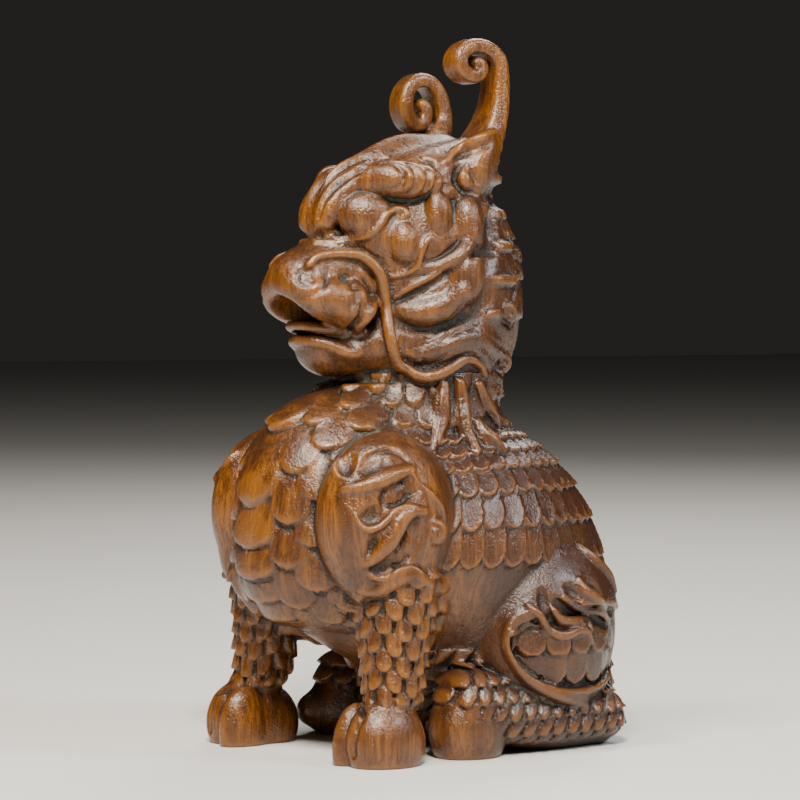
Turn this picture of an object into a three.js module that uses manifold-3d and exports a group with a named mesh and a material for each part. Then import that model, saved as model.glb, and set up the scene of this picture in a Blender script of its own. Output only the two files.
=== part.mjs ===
// A carved wooden qilin: a seated, scaled beast with two curled horns, cut from one block.
// The figure faces -Y and its left side is +X. Every form is a mass of wood in a grid of distances
// to the skin: masses are joined and carved there, the scales are raised on the skin, and the skin is
// then turned into one closed mesh and cut flat where the figure stands.

import * as THREE from 'three';
import { triTable } from 'three/addons/objects/MarchingCubes.js';
import { mergeVertices } from 'three/addons/utils/BufferGeometryUtils.js';
import Module from 'manifold-3d';

// Driving dimensions, in millimetres.
const HEIGHT = 125; // floor to the top of the taller horn
const HORN_THICKNESS = 3.4; // the horn's rod where its curl begins, seen from the side
const HORN_WIDTH = 5.8; // the same rod seen from the front
const HORN_CURLS = [[5.3, 4.2], [5, 6.4]]; // how far each spiral starts from its middle, along Y and Z
const HORN_TOPS = [HEIGHT, HEIGHT - 4.9];
const WHISKER_RADIUS = 1.05;
const LEG_RADIUS = 5.4; // foreleg above the hoof
const OUTER_TOE = new THREE.Vector3(5.6, 7.2, 7.8); // half width, half length, height
const INNER_TOE = new THREE.Vector3(3, 4.9, 8);
const HIND_HOOF = new THREE.Vector3(6.2, 7.4, 8.4);
const CLEFT_WIDTH = 1.5; // slot between the two toes
const FLANK_SCALE = 5.9; // one row of scales on the back and flanks
const CHEST_PLATE = 8.2; // one row of the broad plates on the chest
const LEG_SCALE = 3.3; // one row of scales on a leg
const THIGH_SCALE = 5; // one row of scales in the thigh's opening
const SCALE_RISE = 1.5; // a scale's tip above the root of the scale below it
const PLATE_RISE = 2.1; // the same for a plate on the chest
const OPENING_DEPTH = 2.2; // how deep the openings in the pads of the legs are cut

// The pose and the carving are drawn in shares of the height: 125 units from floor to horn.
const UNIT = HEIGHT / 125;
const CELL = 0.62 * UNIT; // spacing of the grid
const FAR = 50 * UNIT;
const BAND = 4 * UNIT; // how near the skin a relief acts
const FACES = 9400; // triangles left on the skin before it is cut flat
const NECK_ROWS = 5; // rows of scales in rings around the neck, with fewer in a ring
const NECK_COLUMNS = 30;
const FLANK_COLUMNS = 44;
const LEG_COLUMNS = 11;
const HEAD_BASE = 66; // how high the head begins
const HORN_BASE = 107; // how high the horns leave the skull
const HEAD_CARE = 2; // how much more an edge counts on the head when triangles are saved
const HORN_CARE = 8; // the same on the thin horns
const PLATE_EDGES = [0.27, 0.6, 0.9]; // where a column of chest plates ends, in radians from the middle

function drawn(x, y, z) {
  return new THREE.Vector3(x, y, z).multiplyScalar(UNIT);
}

// Joins two distances with a rounded fillet of about the given width.
function blend(a, b, width) {
  const h = Math.max(width - Math.abs(a - b), 0) / width;
  return Math.min(a, b) - (h * h * width) / 4;
}

// An ellipsoid, tilted about X and then turned about Z, by angles in degrees.
function egg(centre, radii, tilt = 0, turn = 0) {
  const tilted = new THREE.Matrix4().makeRotationX(THREE.MathUtils.degToRad(tilt));
  const turned = new THREE.Matrix4().makeRotationZ(THREE.MathUtils.degToRad(turn)).multiply(tilted);
  const axes = [0, 1, 2].map((column) => new THREE.Vector3().setFromMatrixColumn(turned, column));
  const [along, over, up] = axes;
  const sides = axes.map((axis, k) => axis.clone().multiplyScalar(radii.getComponent(k)));
  const reach = new THREE.Vector3(
    Math.hypot(...sides.map((side) => side.x)),
    Math.hypot(...sides.map((side) => side.y)),
    Math.hypot(...sides.map((side) => side.z)),
  );
  const distance = (px, py, pz) => {
    const x = px - centre.x;
    const y = py - centre.y;
    const z = pz - centre.z;
    const dx = (along.x * x + along.y * y + along.z * z) / radii.x;
    const dy = (over.x * x + over.y * y + over.z * z) / radii.y;
    const dz = (up.x * x + up.y * y + up.z * z) / radii.z;
    const size = Math.hypot(dx, dy, dz);
    const slope = Math.hypot(dx / radii.x, dy / radii.y, dz / radii.z);
    return (size * (size - 1)) / Math.max(slope, 1e-6);
  };
  return { box: new THREE.Box3(centre.clone().sub(reach), centre.clone().add(reach)), distance };
}

// A round rod through [point, radius] stops, with the radius changing evenly between them.
// Below 1, flat makes it wider across X than it is thick.
function rod(stops, steps = 4, flat = 1) {
  const curve = new THREE.CatmullRomCurve3(stops.map(([point]) => point));
  const count = (stops.length - 1) * steps;
  const balls = [];
  for (let i = 0; i <= count; i++) {
    const stop = Math.min(Math.floor(i / steps), stops.length - 2);
    const radius = THREE.MathUtils.lerp(stops[stop][1], stops[stop + 1][1], i / steps - stop);
    balls.push({ point: curve.getPoint(i / count), radius });
  }
  const box = new THREE.Box3();
  for (const { point, radius } of balls) {
    box.expandByPoint(point.clone().subScalar(radius / flat));
    box.expandByPoint(point.clone().addScalar(radius / flat));
  }
  const distance = (x, y, z) => {
    let nearest = Infinity;
    for (let i = 1; i < balls.length; i++) {
      const a = balls[i - 1].point;
      const b = balls[i].point;
      const dx = b.x - a.x;
      const dy = b.y - a.y;
      const dz = b.z - a.z;
      const along = ((x - a.x) * dx + (y - a.y) * dy + (z - a.z) * dz) / (dx * dx + dy * dy + dz * dz);
      const t = Math.min(Math.max(along, 0), 1);
      const radius = balls[i - 1].radius + (balls[i].radius - balls[i - 1].radius) * t;
      const off = Math.hypot((x - a.x - dx * t) * flat, y - a.y - dy * t, z - a.z - dz * t);
      nearest = Math.min(nearest, off - radius);
    }
    return nearest;
  };
  return { box, distance };
}

// The block of wood: distances to the skin on a grid, negative inside.
class Wood {
  constructor(low, high) {
    this.low = low;
    this.count = high.clone().sub(low).divideScalar(CELL).round().addScalar(1);
    this.values = new Float32Array(this.count.x * this.count.y * this.count.z).fill(FAR);
  }

  index(i, j, k) {
    return (i * this.count.y + j) * this.count.z + k;
  }

  // Calls visit(index, x, y, z) for every grid point in a box.
  each(box, visit) {
    const from = box.min.clone().sub(this.low).divideScalar(CELL).floor().max(new THREE.Vector3());
    const last = this.count.clone().subScalar(1);
    const to = box.max.clone().sub(this.low).divideScalar(CELL).ceil().min(last);
    for (let i = from.x; i <= to.x; i++) {
      for (let j = from.y; j <= to.y; j++) {
        for (let k = from.z; k <= to.z; k++) {
          visit(this.index(i, j, k), this.low.x + i * CELL, this.low.y + j * CELL, this.low.z + k * CELL);
        }
      }
    }
  }

  join(shape, width) {
    this.each(shape.box.clone().expandByScalar(width + 3 * CELL), (n, x, y, z) => {
      this.values[n] = blend(this.values[n], shape.distance(x, y, z), width);
    });
  }

  carve(shape, width) {
    this.each(shape.box.clone().expandByScalar(width + 3 * CELL), (n, x, y, z) => {
      this.values[n] = -blend(-this.values[n], shape.distance(x, y, z), width);
    });
  }

  // Raises the skin inside a box by height(x, y, z).
  emboss(box, height) {
    this.each(box, (n, x, y, z) => {
      if (Math.abs(this.values[n]) < BAND) {
        this.values[n] -= height(x, y, z);
      }
    });
  }

  // The outermost x of the wood at a place on the side.
  skin(y, z) {
    const j = Math.round((y - this.low.y) / CELL);
    const k = Math.round((z - this.low.z) / CELL);
    for (let i = this.count.x - 2; i >= 0; i--) {
      const inner = this.values[this.index(i, j, k)];
      const outer = this.values[this.index(i + 1, j, k)];
      if (inner < 0) {
        return this.low.x + CELL * (i + inner / (inner - outer));
      }
    }
    return 0;
  }

  // The whole figure from the half with x >= 0.
  unfolded() {
    const high = this.count.clone().subScalar(1).multiplyScalar(CELL).add(this.low);
    const whole = new Wood(new THREE.Vector3(-high.x, this.low.y, this.low.z), high);
    const middle = this.count.x - 1;
    whole.each(new THREE.Box3(whole.low, high), (n) => {
      const plane = this.count.y * this.count.z;
      const i = Math.floor(n / plane);
      whole.values[n] = this.values[Math.abs(i - middle) * plane + (n % plane)];
    });
    return whole;
  }
}

// Short forms for carving in drawn units.
function mass(wood, x, y, z, rx, ry, rz, width = 2, tilt = 0, turn = 0) {
  wood.join(egg(drawn(x, y, z), drawn(rx, ry, rz), tilt, turn), width * UNIT);
}

function hollow(wood, x, y, z, rx, ry, rz, width = 0.8, tilt = 0) {
  wood.carve(egg(drawn(x, y, z), drawn(rx, ry, rz), tilt), width * UNIT);
}

function limb(wood, rows, width = 1) {
  wood.join(rod(rows.map(([x, y, z, r]) => [drawn(x, y, z), r * UNIT])), width * UNIT);
}

// Stops of a rod that lies on the side of the figure, sunk so that lift of its radius stands out.
function laid(wood, rows, lift) {
  return rows.map(([y, z, r]) => {
    const radius = r * UNIT;
    const x = wood.skin(y * UNIT, z * UNIT) + lift * radius;
    return [new THREE.Vector3(x, y * UNIT, z * UNIT), radius];
  });
}

function ridge(wood, rows, lift = 0.2) {
  wood.join(rod(laid(wood, rows, lift)), 0.6 * UNIT);
}

function groove(wood, rows) {
  wood.carve(rod(laid(wood, rows, 0)), 0.5 * UNIT);
}

// Overlapping scales: u counts columns, v counts rows downward. Gives 0 in a gap and 1 at a tip.
// Each row is shifted by stagger of a column, and bulge rounds a scale from side to side.
function scales(u, v, taper = 0.65, stagger = 0.5, bulge = 1.1) {
  const tongue = (row) => {
    const across = THREE.MathUtils.euclideanModulo(u - stagger * row + 0.5, 1) - 0.5;
    const down = v - row;
    const round = Math.max(down - (1 - taper), 0) / taper;
    const half = 0.5 * Math.sqrt(Math.max(1 - round * round, 0));
    const inside = THREE.MathUtils.smoothstep(half - Math.abs(across), 0, 0.2);
    const height = (0.1 + 0.9 * ((down + 0.4) / 1.4)) * (1 - bulge * across * across);
    return { inside, height };
  };
  const row = Math.floor(v);
  const upper = tongue(row);
  const lower = tongue(row + 1);
  return upper.inside * upper.height + (1 - upper.inside) * lower.height * lower.inside;
}

function drawnBox(low, high) {
  return new THREE.Box3(drawn(...low), drawn(...high));
}

function carveTorso(wood) {
  mass(wood, 0, 6, 43, 17.2, 20, 20, 0.5);
  mass(wood, 0, 5, 34, 17, 18.8, 13, 4);
  mass(wood, 0, 22, 36, 24.2, 30, 23.5, 4);
  mass(wood, 0, 33.4, 25, 21.8, 24.4, 27.5, 4);
  mass(wood, 0, 36.6, 10, 21, 22, 16, 4);
  mass(wood, 0, 20, 62, 13.5, 14.5, 17, 6);
}

// Columns of chest plates, counted from the one on the middle, at an angle round the body.
function plateColumn(round) {
  const column = PLATE_EDGES.slice(0, -1).filter((edge) => round >= edge).length;
  const to = PLATE_EDGES[column];
  const from = column === 0 ? -to : PLATE_EDGES[column - 1];
  return column - 0.5 + (round - from) / (to - from);
}

// The scales run in rings around the neck and down over the body, with broad plates on the chest
// in columns, each half a plate lower than the next.
function scaleTorso(wood) {
  const centre = drawn(0, 18, 32);
  const wide = 26 * UNIT;
  const long = 37 * UNIT;
  const reach = 30 * UNIT;
  wood.emboss(drawnBox([0, -24, 12], [36, 66, 66]), (x, y, z) => {
    const across = x / wide;
    const back = (y - centre.y) / long;
    const fall = Math.atan2(Math.hypot(across, back) * reach, z - centre.z) * reach;
    const round = Math.atan2(across, -back);
    const columns = fall < NECK_ROWS * FLANK_SCALE ? NECK_COLUMNS : FLANK_COLUMNS;
    const turn = (round / (2 * Math.PI)) * columns;
    const small = scales(turn, fall / FLANK_SCALE, 0.5, 0.06, 0.4) * SCALE_RISE;
    const plate = plateColumn(round);
    const lowered = Math.round(plate) === 1 ? 0.6 : 0.1;
    const broad = scales(plate, fall / CHEST_PLATE + lowered, 0.6, 0, 1.6) * PLATE_RISE;
    const chest = THREE.MathUtils.smoothstep(-round, -0.98, -0.86);
    const fade = THREE.MathUtils.smoothstep(z, 20 * UNIT, 26 * UNIT);
    return THREE.MathUtils.lerp(small, broad, chest) * fade;
  });
}

function carveHead(wood) {
  mass(wood, 0, 21.6, 80, 16, 16.9, 22, 3);
  mass(wood, 0, 18, 90, 14, 16, 13, 4);
  limb(wood, [[0, 9, 95.5, 6], [0, 15, 99, 6.8], [0, 25, 102, 6.5]], 2);
  limb(wood, [[5, 11, 96, 5], [7, 16, 99, 5.6], [7, 26, 102, 5.5]], 2);
}

function carveMuzzle(wood) {
  mass(wood, 0, 3.5, 83.5, 8.2, 11, 6.5, 3);
  mass(wood, 0, -3.4, 83, 6.8, 6.4, 4.2, 2);
  limb(wood, [[0, -8.2, 81.7, 2.1], [3.6, -7, 80.8, 2.6], [6, -3.8, 79.2, 3.7], [6.8, 0.4, 78.2, 4.3]], 1.2);
  limb(wood, [[0, 0, 86.5, 2.8], [0, 5, 89.5, 4]], 2);
  hollow(wood, 0, -5.5, 76.4, 4.6, 8, 3.5, 1.4, 8);
}

function carveJaw(wood) {
  mass(wood, 0, 3.4, 70.2, 6.5, 6.4, 4.8, 0.6);
  limb(wood, [[4, 5, 70.5, 4], [7, 11, 72, 5]], 2);
  limb(wood, [[0, -5.2, 74.4, 0.8], [2.8, -4.6, 74.3, 0.9], [4.8, -2, 73.8, 0.9], [5.8, 1, 73.4, 0.8]], 0.8);
  limb(wood, [
    [0, -4.6, 71.8, 1], [3.2, -3.6, 71.6, 1.05], [5.2, -1.4, 70.9, 1.05],
    [6.5, 0.6, 69.8, 1.05], [7, 2.4, 69.6, 1], [7.3, 3.8, 70.9, 0.8],
  ], 1);
}

// The brow is a broad lobe beside a low crest, over a lidded eye.
function carveBrow(wood) {
  limb(wood, [
    [0, -1.3, 91.6, 1.2], [0, -0.9, 94.6, 1.5], [0, 1.2, 98, 1.7], [0, 4.4, 100.8, 1.9],
    [0, 8, 102.4, 2], [0, 12, 104.4, 2], [0, 15.4, 106, 2],
  ], 0.5);
  limb(wood, [
    [2.4, -0.8, 92.4, 2], [2.9, 0, 94.6, 2.6], [4, 1.6, 97.2, 3], [5.8, 4.1, 98.9, 3.2],
    [7.8, 6.5, 99.4, 3.3], [9.6, 8.7, 99.6, 3.3], [11.2, 11.3, 99.4, 3.1], [12.2, 14, 99.2, 2.6],
  ], 0.5);
  hollow(wood, 11.5, 3.8, 94.6, 3, 5, 1.6, 0.8, 25);
  mass(wood, 6.4, 4.6, 92.7, 3.1, 4.7, 3.5, 0.3, 0, 30);
  ridge(wood, [[-1, 90.2, 0.5], [0.6, 89, 0.6], [2.8, 89.2, 0.65], [4.8, 90.8, 0.7], [6.4, 93, 0.7], [8.4, 93.6, 0.5]]);
}

function carveCheek(wood) {
  mass(wood, 11, 7.8, 87.6, 3.2, 4.2, 3.9, 0.8);
  mass(wood, 13.2, 14.4, 93.9, 3, 3.1, 5, 0.8, 10);
  limb(wood, [
    [13.6, 18.5, 96, 2.8], [15, 21.6, 92, 3.6], [15.3, 22, 86, 4],
    [15, 20.2, 80.5, 4], [13.6, 15.5, 77, 3.4], [10.8, 10, 76.4, 2.6],
  ], 0.8);
  ridge(wood, [[6.6, 82.4, 0.6], [9.4, 82.8, 0.7], [11, 84.2, 0.8], [11.8, 86.8, 0.8], [13.4, 89.2, 0.7]]);
  ridge(wood, [[11.8, 84.4, 0.8], [15.1, 86.2, 1], [18.2, 89, 1], [19.4, 90.8, 0.5]]);
  ridge(wood, [[8, 79.1, 0.6], [10.9, 81, 0.9], [13.3, 83.7, 0.9], [15.2, 86, 0.5]]);
}

// The mane behind the cheek is cut in stepped rows of locks.
function carveMane(wood) {
  const columns = 26;
  const row = 8.5 * UNIT;
  const middle = 19 * UNIT;
  wood.emboss(drawnBox([0, 20, 62], [26, 46, 104]), (x, y, z) => {
    const round = Math.atan2(x, y - middle) / (2 * Math.PI);
    const behind = THREE.MathUtils.smoothstep(y, 24 * UNIT, 28 * UNIT);
    const below = THREE.MathUtils.smoothstep(-z, -103 * UNIT, -96 * UNIT);
    return scales(round * columns, (104 * UNIT - z) / row, 0.45) * 1.5 * UNIT * behind * below;
  });
  ridge(wood, [[9, 73, 1], [13, 71.6, 1.5], [18, 72.8, 1.7], [23, 75, 1.6], [27, 74, 1.2]], 0);
  ridge(wood, [[11, 69.8, 1], [15, 69, 1.4], [20, 70.8, 1.6], [25, 71.4, 1.5], [29, 69, 1.1]], 0);
  ridge(wood, [[15.5, 65.5, 1.3], [15.9, 61, 1.4], [15.6, 57.5, 1.2], [13.6, 54.6, 0.7]], 0.4);
  ridge(wood, [[19, 66, 1.6], [19, 61, 1.8], [19, 56, 1.5], [20.4, 51.6, 0.6]], 0.4);
  ridge(wood, [[22.6, 63, 1.6], [23.6, 59, 1.9], [26, 56, 1.7], [26, 53, 1]], 0.4);
  mass(wood, 14.2, 28.6, 74.4, 2.4, 2.6, 2.6, 0.4);
  mass(wood, 12.6, 29.2, 67.7, 2.2, 2.2, 2.2, 0.4);
}

function carveWhisker(wood) {
  const route = [
    [-6.2, 85.2], [-3.6, 86.6], [-1, 86.8], [1.6, 86.2], [4, 84.6], [5.6, 82], [6.8, 78.4], [7.2, 74.6],
    [7.4, 71.4], [8.2, 68.4], [10.2, 66], [13, 65], [16.4, 66], [18.8, 67.8], [21, 68], [24.4, 66.4],
  ];
  const rows = route.map(([y, z], i) => {
    const tip = Math.min(1, (route.length - i) / 5, (i + 2) / 3);
    return [y, z, (WHISKER_RADIUS / UNIT) * (0.4 + 0.6 * tip)];
  });
  ridge(wood, rows, 0.9);
}

function carveEar(wood) {
  mass(wood, 12, 23.5, 102.6, 2.4, 3.4, 6.4, 0.6, -32);
  hollow(wood, 14.8, 24.4, 104, 1.6, 1.8, 4.2, 0.5, -32);
  ridge(wood, [[19.4, 101.4, 0.8], [18.8, 99.8, 0.9], [20, 98.6, 0.9], [21.6, 98.8, 0.8]], 0.3);
}

function carveForeleg(wood) {
  const centre = drawn(18, 3, 0);
  const r = LEG_RADIUS;
  const top = [drawn(17.4, 4, 31), r + 1.8 * UNIT];
  wood.join(rod([top, [drawn(17.8, 3, 20), r], [drawn(18.2, 2.4, 11), r - UNIT]]), 2 * UNIT);
  wood.emboss(drawnBox([8, -10, 9.5], [28, 14, 34]), (x, y, z) => {
    const round = Math.atan2(x - centre.x, centre.y - y) / (2 * Math.PI);
    const near = THREE.MathUtils.smoothstep(-Math.hypot(x - centre.x, y - centre.y), -2 * r, -1.7 * r);
    return scales(round * LEG_COLUMNS, -z / LEG_SCALE, 0.9) * SCALE_RISE * 0.9 * near;
  });
  wood.join(egg(drawn(19.2, 0.4, 3.6), OUTER_TOE), 0.8 * UNIT);
  wood.join(egg(drawn(14.8, -2.4, 2.4), INNER_TOE), 0.4 * UNIT);
  const slot = CLEFT_WIDTH / 2;
  const stops = [[drawn(17.4, -6.4, -3), slot], [drawn(17.3, -5.4, 4), slot], [drawn(17.2, -3.6, 11), slot / 2]];
  wood.carve(rod(stops), 0.3 * UNIT);
}

function carveHindLeg(wood) {
  limb(wood, [[18.6, 45.5, 5, 5.2], [19, 34, 5.4, 5.6], [18.8, 24, 7.4, 5.6], [18.6, 18, 9.6, 5.4]], 1.5);
  wood.emboss(drawnBox([12, 12, 1], [30, 50, 18]), (x, y, z) => {
    const outer = THREE.MathUtils.smoothstep(x, 12 * UNIT, 15 * UNIT);
    const near = outer * THREE.MathUtils.smoothstep(-y, -50 * UNIT, -44 * UNIT);
    return scales((y - z / 2) / LEG_SCALE, -z / LEG_SCALE, 0.9) * SCALE_RISE * 0.8 * near;
  });
  wood.join(egg(drawn(18.6, 18.2, 3.2), HIND_HOOF), 0.6 * UNIT);
}

// An oval opening seen from the side, cut to a depth, with scales raised in it.
function scaleWindow(wood, x, [y, z], [long, high], tilt, row, depth) {
  const angle = THREE.MathUtils.degToRad(tilt);
  const size = Math.max(long, high);
  const box = drawnBox([x, y - size, z - size], [34, y + size, z + size]);
  wood.emboss(box, (px, py, pz) => {
    const dy = py / UNIT - y;
    const dz = pz / UNIT - z;
    const along = (dy * Math.cos(angle) + dz * Math.sin(angle)) / long;
    const across = (dz * Math.cos(angle) - dy * Math.sin(angle)) / high;
    const inside = THREE.MathUtils.smoothstep(1 - Math.hypot(along, across), 0, 0.1);
    const raised = scales(py / row, (HEIGHT - pz) / row, 0.6, 0.3, 0.6) * SCALE_RISE;
    return (raised - depth) * inside;
  });
}

// The shoulder is a smooth pad with flame tongues, three eye-shaped pits and an opening with scales.
function carveShoulder(wood) {
  mass(wood, 17.4, 1.8, 41.4, 9, 13.2, 15, 0.4);
  scaleWindow(wood, 16, [8, 38.6], [5.4, 8.6], -12, 0.8 * THIGH_SCALE, OPENING_DEPTH / 2);
  ridge(wood, [[-8.4, 47.6, 1], [-6.4, 52, 1.4], [0, 54.4, 1.6], [6, 52.6, 1.4], [9.8, 48.6, 0.9]], 0.1);
  ridge(wood, [[-8.6, 49, 0.8], [-5.6, 47, 1.5], [-1.4, 47.6, 1.7], [2.6, 49, 1.5], [5.8, 50, 0.8]], 0.1);
  ridge(wood, [
    [-8, 41.4, 0.8], [-5.6, 39.8, 1.4], [-2.6, 40, 1.6], [1, 43.4, 1.7], [4.4, 44.2, 1.4], [7.4, 42.4, 0.7],
  ], 0.2);
  ridge(wood, [[-6.8, 33.6, 0.8], [-4.4, 31.8, 1.3], [-1.4, 32, 1.5], [1.8, 34, 1.4], [5.4, 33.4, 0.7]], 0.2);
  ridge(wood, [[-6, 28.4, 0.8], [-2.8, 28.6, 1.4], [0.6, 30.4, 1.4], [4.4, 31, 0.7]], 0.2);
  hollow(wood, 21.4, -8.2, 50.6, 1.8, 1.8, 2.6, 0.4, -20);
  hollow(wood, 25.2, -4.8, 42.8, 2.2, 3, 1.8, 0.4, 20);
  hollow(wood, 24.8, -3.8, 34.6, 1.9, 2.6, 1.5, 0.4, 20);
}

// The thigh is a smooth crescent that sweeps round an opening with scales under flame tongues.
function carveThigh(wood) {
  mass(wood, 17.2, 35.4, 20.6, 11.2, 15.2, 16.8, 0.4);
  scaleWindow(wood, 18, [37.4, 15.6], [15.6, 8.6], -8, THIGH_SCALE, OPENING_DEPTH);
  ridge(wood, [
    [24.8, 25.2, 1], [28.4, 22.6, 1.5], [31.4, 20, 1.7], [35, 20.6, 1.6], [38.4, 21.2, 1.2], [41, 17.6, 0.6],
  ], 0.3);
  ridge(wood, [[30.4, 26.4, 1.3], [34, 24.6, 1.6], [38.4, 25, 1.5], [43.4, 22.4, 0.7]], 0.2);
  ridge(wood, [[36, 32, 1.4], [40, 29.4, 1.5], [43.6, 26.6, 1.2], [46, 23.4, 0.6]], 0.2);
  groove(wood, [[31.4, 27.4, 0.6], [34.6, 26.6, 1.2], [38.4, 27.4, 1.1], [42, 25.4, 0.6]]);
  groove(wood, [[36.8, 29.6, 0.5], [39.6, 27.8, 1], [42.8, 26, 0.5]]);
}

// The tail lies up the rump in low relief and parts in three curls.
function carveTail(wood) {
  limb(wood, [[0, 55.6, 3, 3], [0, 57, 12, 2.8], [0, 56, 22, 2.6], [0, 52.6, 31, 2.2]], 1);
  for (const [side, rise] of [[4.5, 26], [6, 18], [5, 10]]) {
    limb(wood, [[0.5, 56, rise - 6, 1.8], [side * 0.6, 56, rise, 1.9], [side, 54, rise + 5, 1.3]], 0.8);
  }
}

// A horn rises from the skull and rolls forward into a curl, over the top and round to its middle.
function growHorn(wood, side, [long, high], top) {
  const thick = HORN_THICKNESS / 2;
  const turns = 470;
  const shrink = (turn) => 1 - turn / (turns * 1.25);
  const x = 8.6 * UNIT * side;
  const back = 31.2 * UNIT;
  const middle = top - high * shrink(90) - thick * 0.94;
  const rows = [
    [new THREE.Vector3(x * 0.9, back - 5.4 * UNIT, 102 * UNIT), thick * 2.2],
    [new THREE.Vector3(x * 0.96, back - 2 * UNIT, 108 * UNIT), thick * 1.5],
    [new THREE.Vector3(x, back - 0.2 * UNIT, (108 * UNIT + middle) / 2), thick * 1.15],
  ];
  for (let turn = 0; turn <= turns; turn += 30) {
    const angle = THREE.MathUtils.degToRad(turn);
    const y = back - long + long * shrink(turn) * Math.cos(angle);
    const z = middle + high * shrink(turn) * Math.sin(angle);
    rows.push([new THREE.Vector3(x, y, z), thick * (1 - turn / (turns * 2))]);
  }
  wood.join(rod(rows, 3, HORN_THICKNESS / HORN_WIDTH), 0.3 * UNIT);
}

// The skin as triangles, cell by cell, with one point on each grid edge that it crosses.
function meshSkin(wood) {
  const { values, count, low } = wood;
  const step = [count.y * count.z, count.z, 1];
  const corners = [[0, 0, 0], [1, 0, 0], [1, 1, 0], [0, 1, 0], [0, 0, 1], [1, 0, 1], [1, 1, 1], [0, 1, 1]];
  const edges = [[0, 1], [1, 2], [3, 2], [0, 3], [4, 5], [5, 6], [7, 6], [4, 7], [0, 4], [1, 5], [2, 6], [3, 7]];
  const offsets = corners.map((corner) => corner.reduce((sum, at, k) => sum + at * step[k], 0));
  const points = [];
  const pointOf = new Map();
  const triangles = [];
  const crossing = (n, place, edge) => {
    const [from, to] = edges[edge];
    const axis = corners[to].findIndex((at, k) => at !== corners[from][k]);
    const key = (n + offsets[from]) * 3 + axis;
    if (!pointOf.has(key)) {
      const near = values[n + offsets[from]];
      const far = values[n + offsets[to]];
      const point = new THREE.Vector3(...corners[from]);
      point.setComponent(axis, near / (near - far));
      pointOf.set(key, points.length);
      points.push(point.multiplyScalar(CELL).add(place));
    }
    return pointOf.get(key);
  };
  const last = count.clone().subScalar(2).multiplyScalar(CELL).add(low);
  wood.each(new THREE.Box3(low, last), (n, x, y, z) => {
    const pattern = offsets.reduce((bits, offset, k) => bits | (values[n + offset] < 0 ? 1 << k : 0), 0);
    if (pattern === 0 || pattern === 255) {
      return;
    }
    const place = new THREE.Vector3(x, y, z);
    for (let k = pattern * 16; triTable[k] !== -1; k += 3) {
      triangles.push([triTable[k], triTable[k + 2], triTable[k + 1]].map((edge) => crossing(n, place, edge)));
    }
  });
  return { points, triangles };
}

// The shell with the most triangles. Chips that float free and pockets sealed in the wood go.
function largestShell({ points, triangles }) {
  const parent = points.map((point, n) => n);
  const root = (n) => {
    let at = n;
    while (parent[at] !== at) {
      parent[at] = parent[parent[at]];
      at = parent[at];
    }
    return at;
  };
  for (const [a, b, c] of triangles) {
    parent[root(a)] = root(b);
    parent[root(b)] = root(c);
  }
  const shells = new Map();
  for (const triangle of triangles) {
    const shell = root(triangle[0]);
    if (!shells.has(shell)) {
      shells.set(shell, []);
    }
    shells.get(shell).push(triangle);
  }
  const largest = [...shells.values()].reduce((one, other) => (other.length > one.length ? other : one));
  return { points, triangles: largest };
}

// The ten numbers of a plane's squared distance, and of their sum at a shared point.
function planeError(a, b, c) {
  const normal = b.clone().sub(a).cross(c.clone().sub(a));
  const area = normal.length();
  normal.divideScalar(Math.max(area, 1e-12));
  const { x, y, z } = normal;
  const w = -normal.dot(a);
  return [x * x, x * y, x * z, x * w, y * y, y * z, y * w, z * z, z * w, w * w].map((value) => value * area);
}

function errorAt(q, { x, y, z }) {
  const square = q[0] * x * x + q[4] * y * y + q[7] * z * z + q[9];
  return square + 2 * (q[1] * x * y + q[2] * x * z + q[5] * y * z + q[3] * x + q[6] * y + q[8] * z);
}

// The point with the least error, or null where the three planes nearly agree.
function bestPoint(q) {
  const matrix = new THREE.Matrix3().set(q[0], q[1], q[2], q[1], q[4], q[5], q[2], q[5], q[7]);
  const trace = q[0] + q[4] + q[7];
  if (Math.abs(matrix.determinant()) < 1e-4 * trace ** 3) {
    return null;
  }
  return new THREE.Vector3(-q[3], -q[6], -q[8]).applyMatrix3(matrix.invert());
}

// Edges in a binary heap, the cheapest on top.
class Queue {
  constructor() {
    this.items = [];
  }

  push(item) {
    const { items } = this;
    let at = items.length;
    items.push(item);
    while (at > 0) {
      const parent = (at - 1) >> 1;
      if (items[parent].cost <= item.cost) {
        break;
      }
      items[at] = items[parent];
      at = parent;
    }
    items[at] = item;
  }

  pop() {
    const { items } = this;
    const top = items[0];
    const last = items.pop();
    const size = items.length;
    let at = 0;
    while (2 * at + 1 < size) {
      const left = 2 * at + 1;
      const child = left + 1 < size && items[left + 1].cost < items[left].cost ? left + 1 : left;
      if (items[child].cost >= last.cost) {
        break;
      }
      items[at] = items[child];
      at = child;
    }
    if (size > 0) {
      items[at] = last;
    }
    return top;
  }
}

// How much a place counts when triangles are saved.
function careAt(point) {
  if (point.z > HORN_BASE * UNIT) {
    return HORN_CARE;
  }
  return point.z > HEAD_BASE * UNIT ? HEAD_CARE : 1;
}

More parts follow.
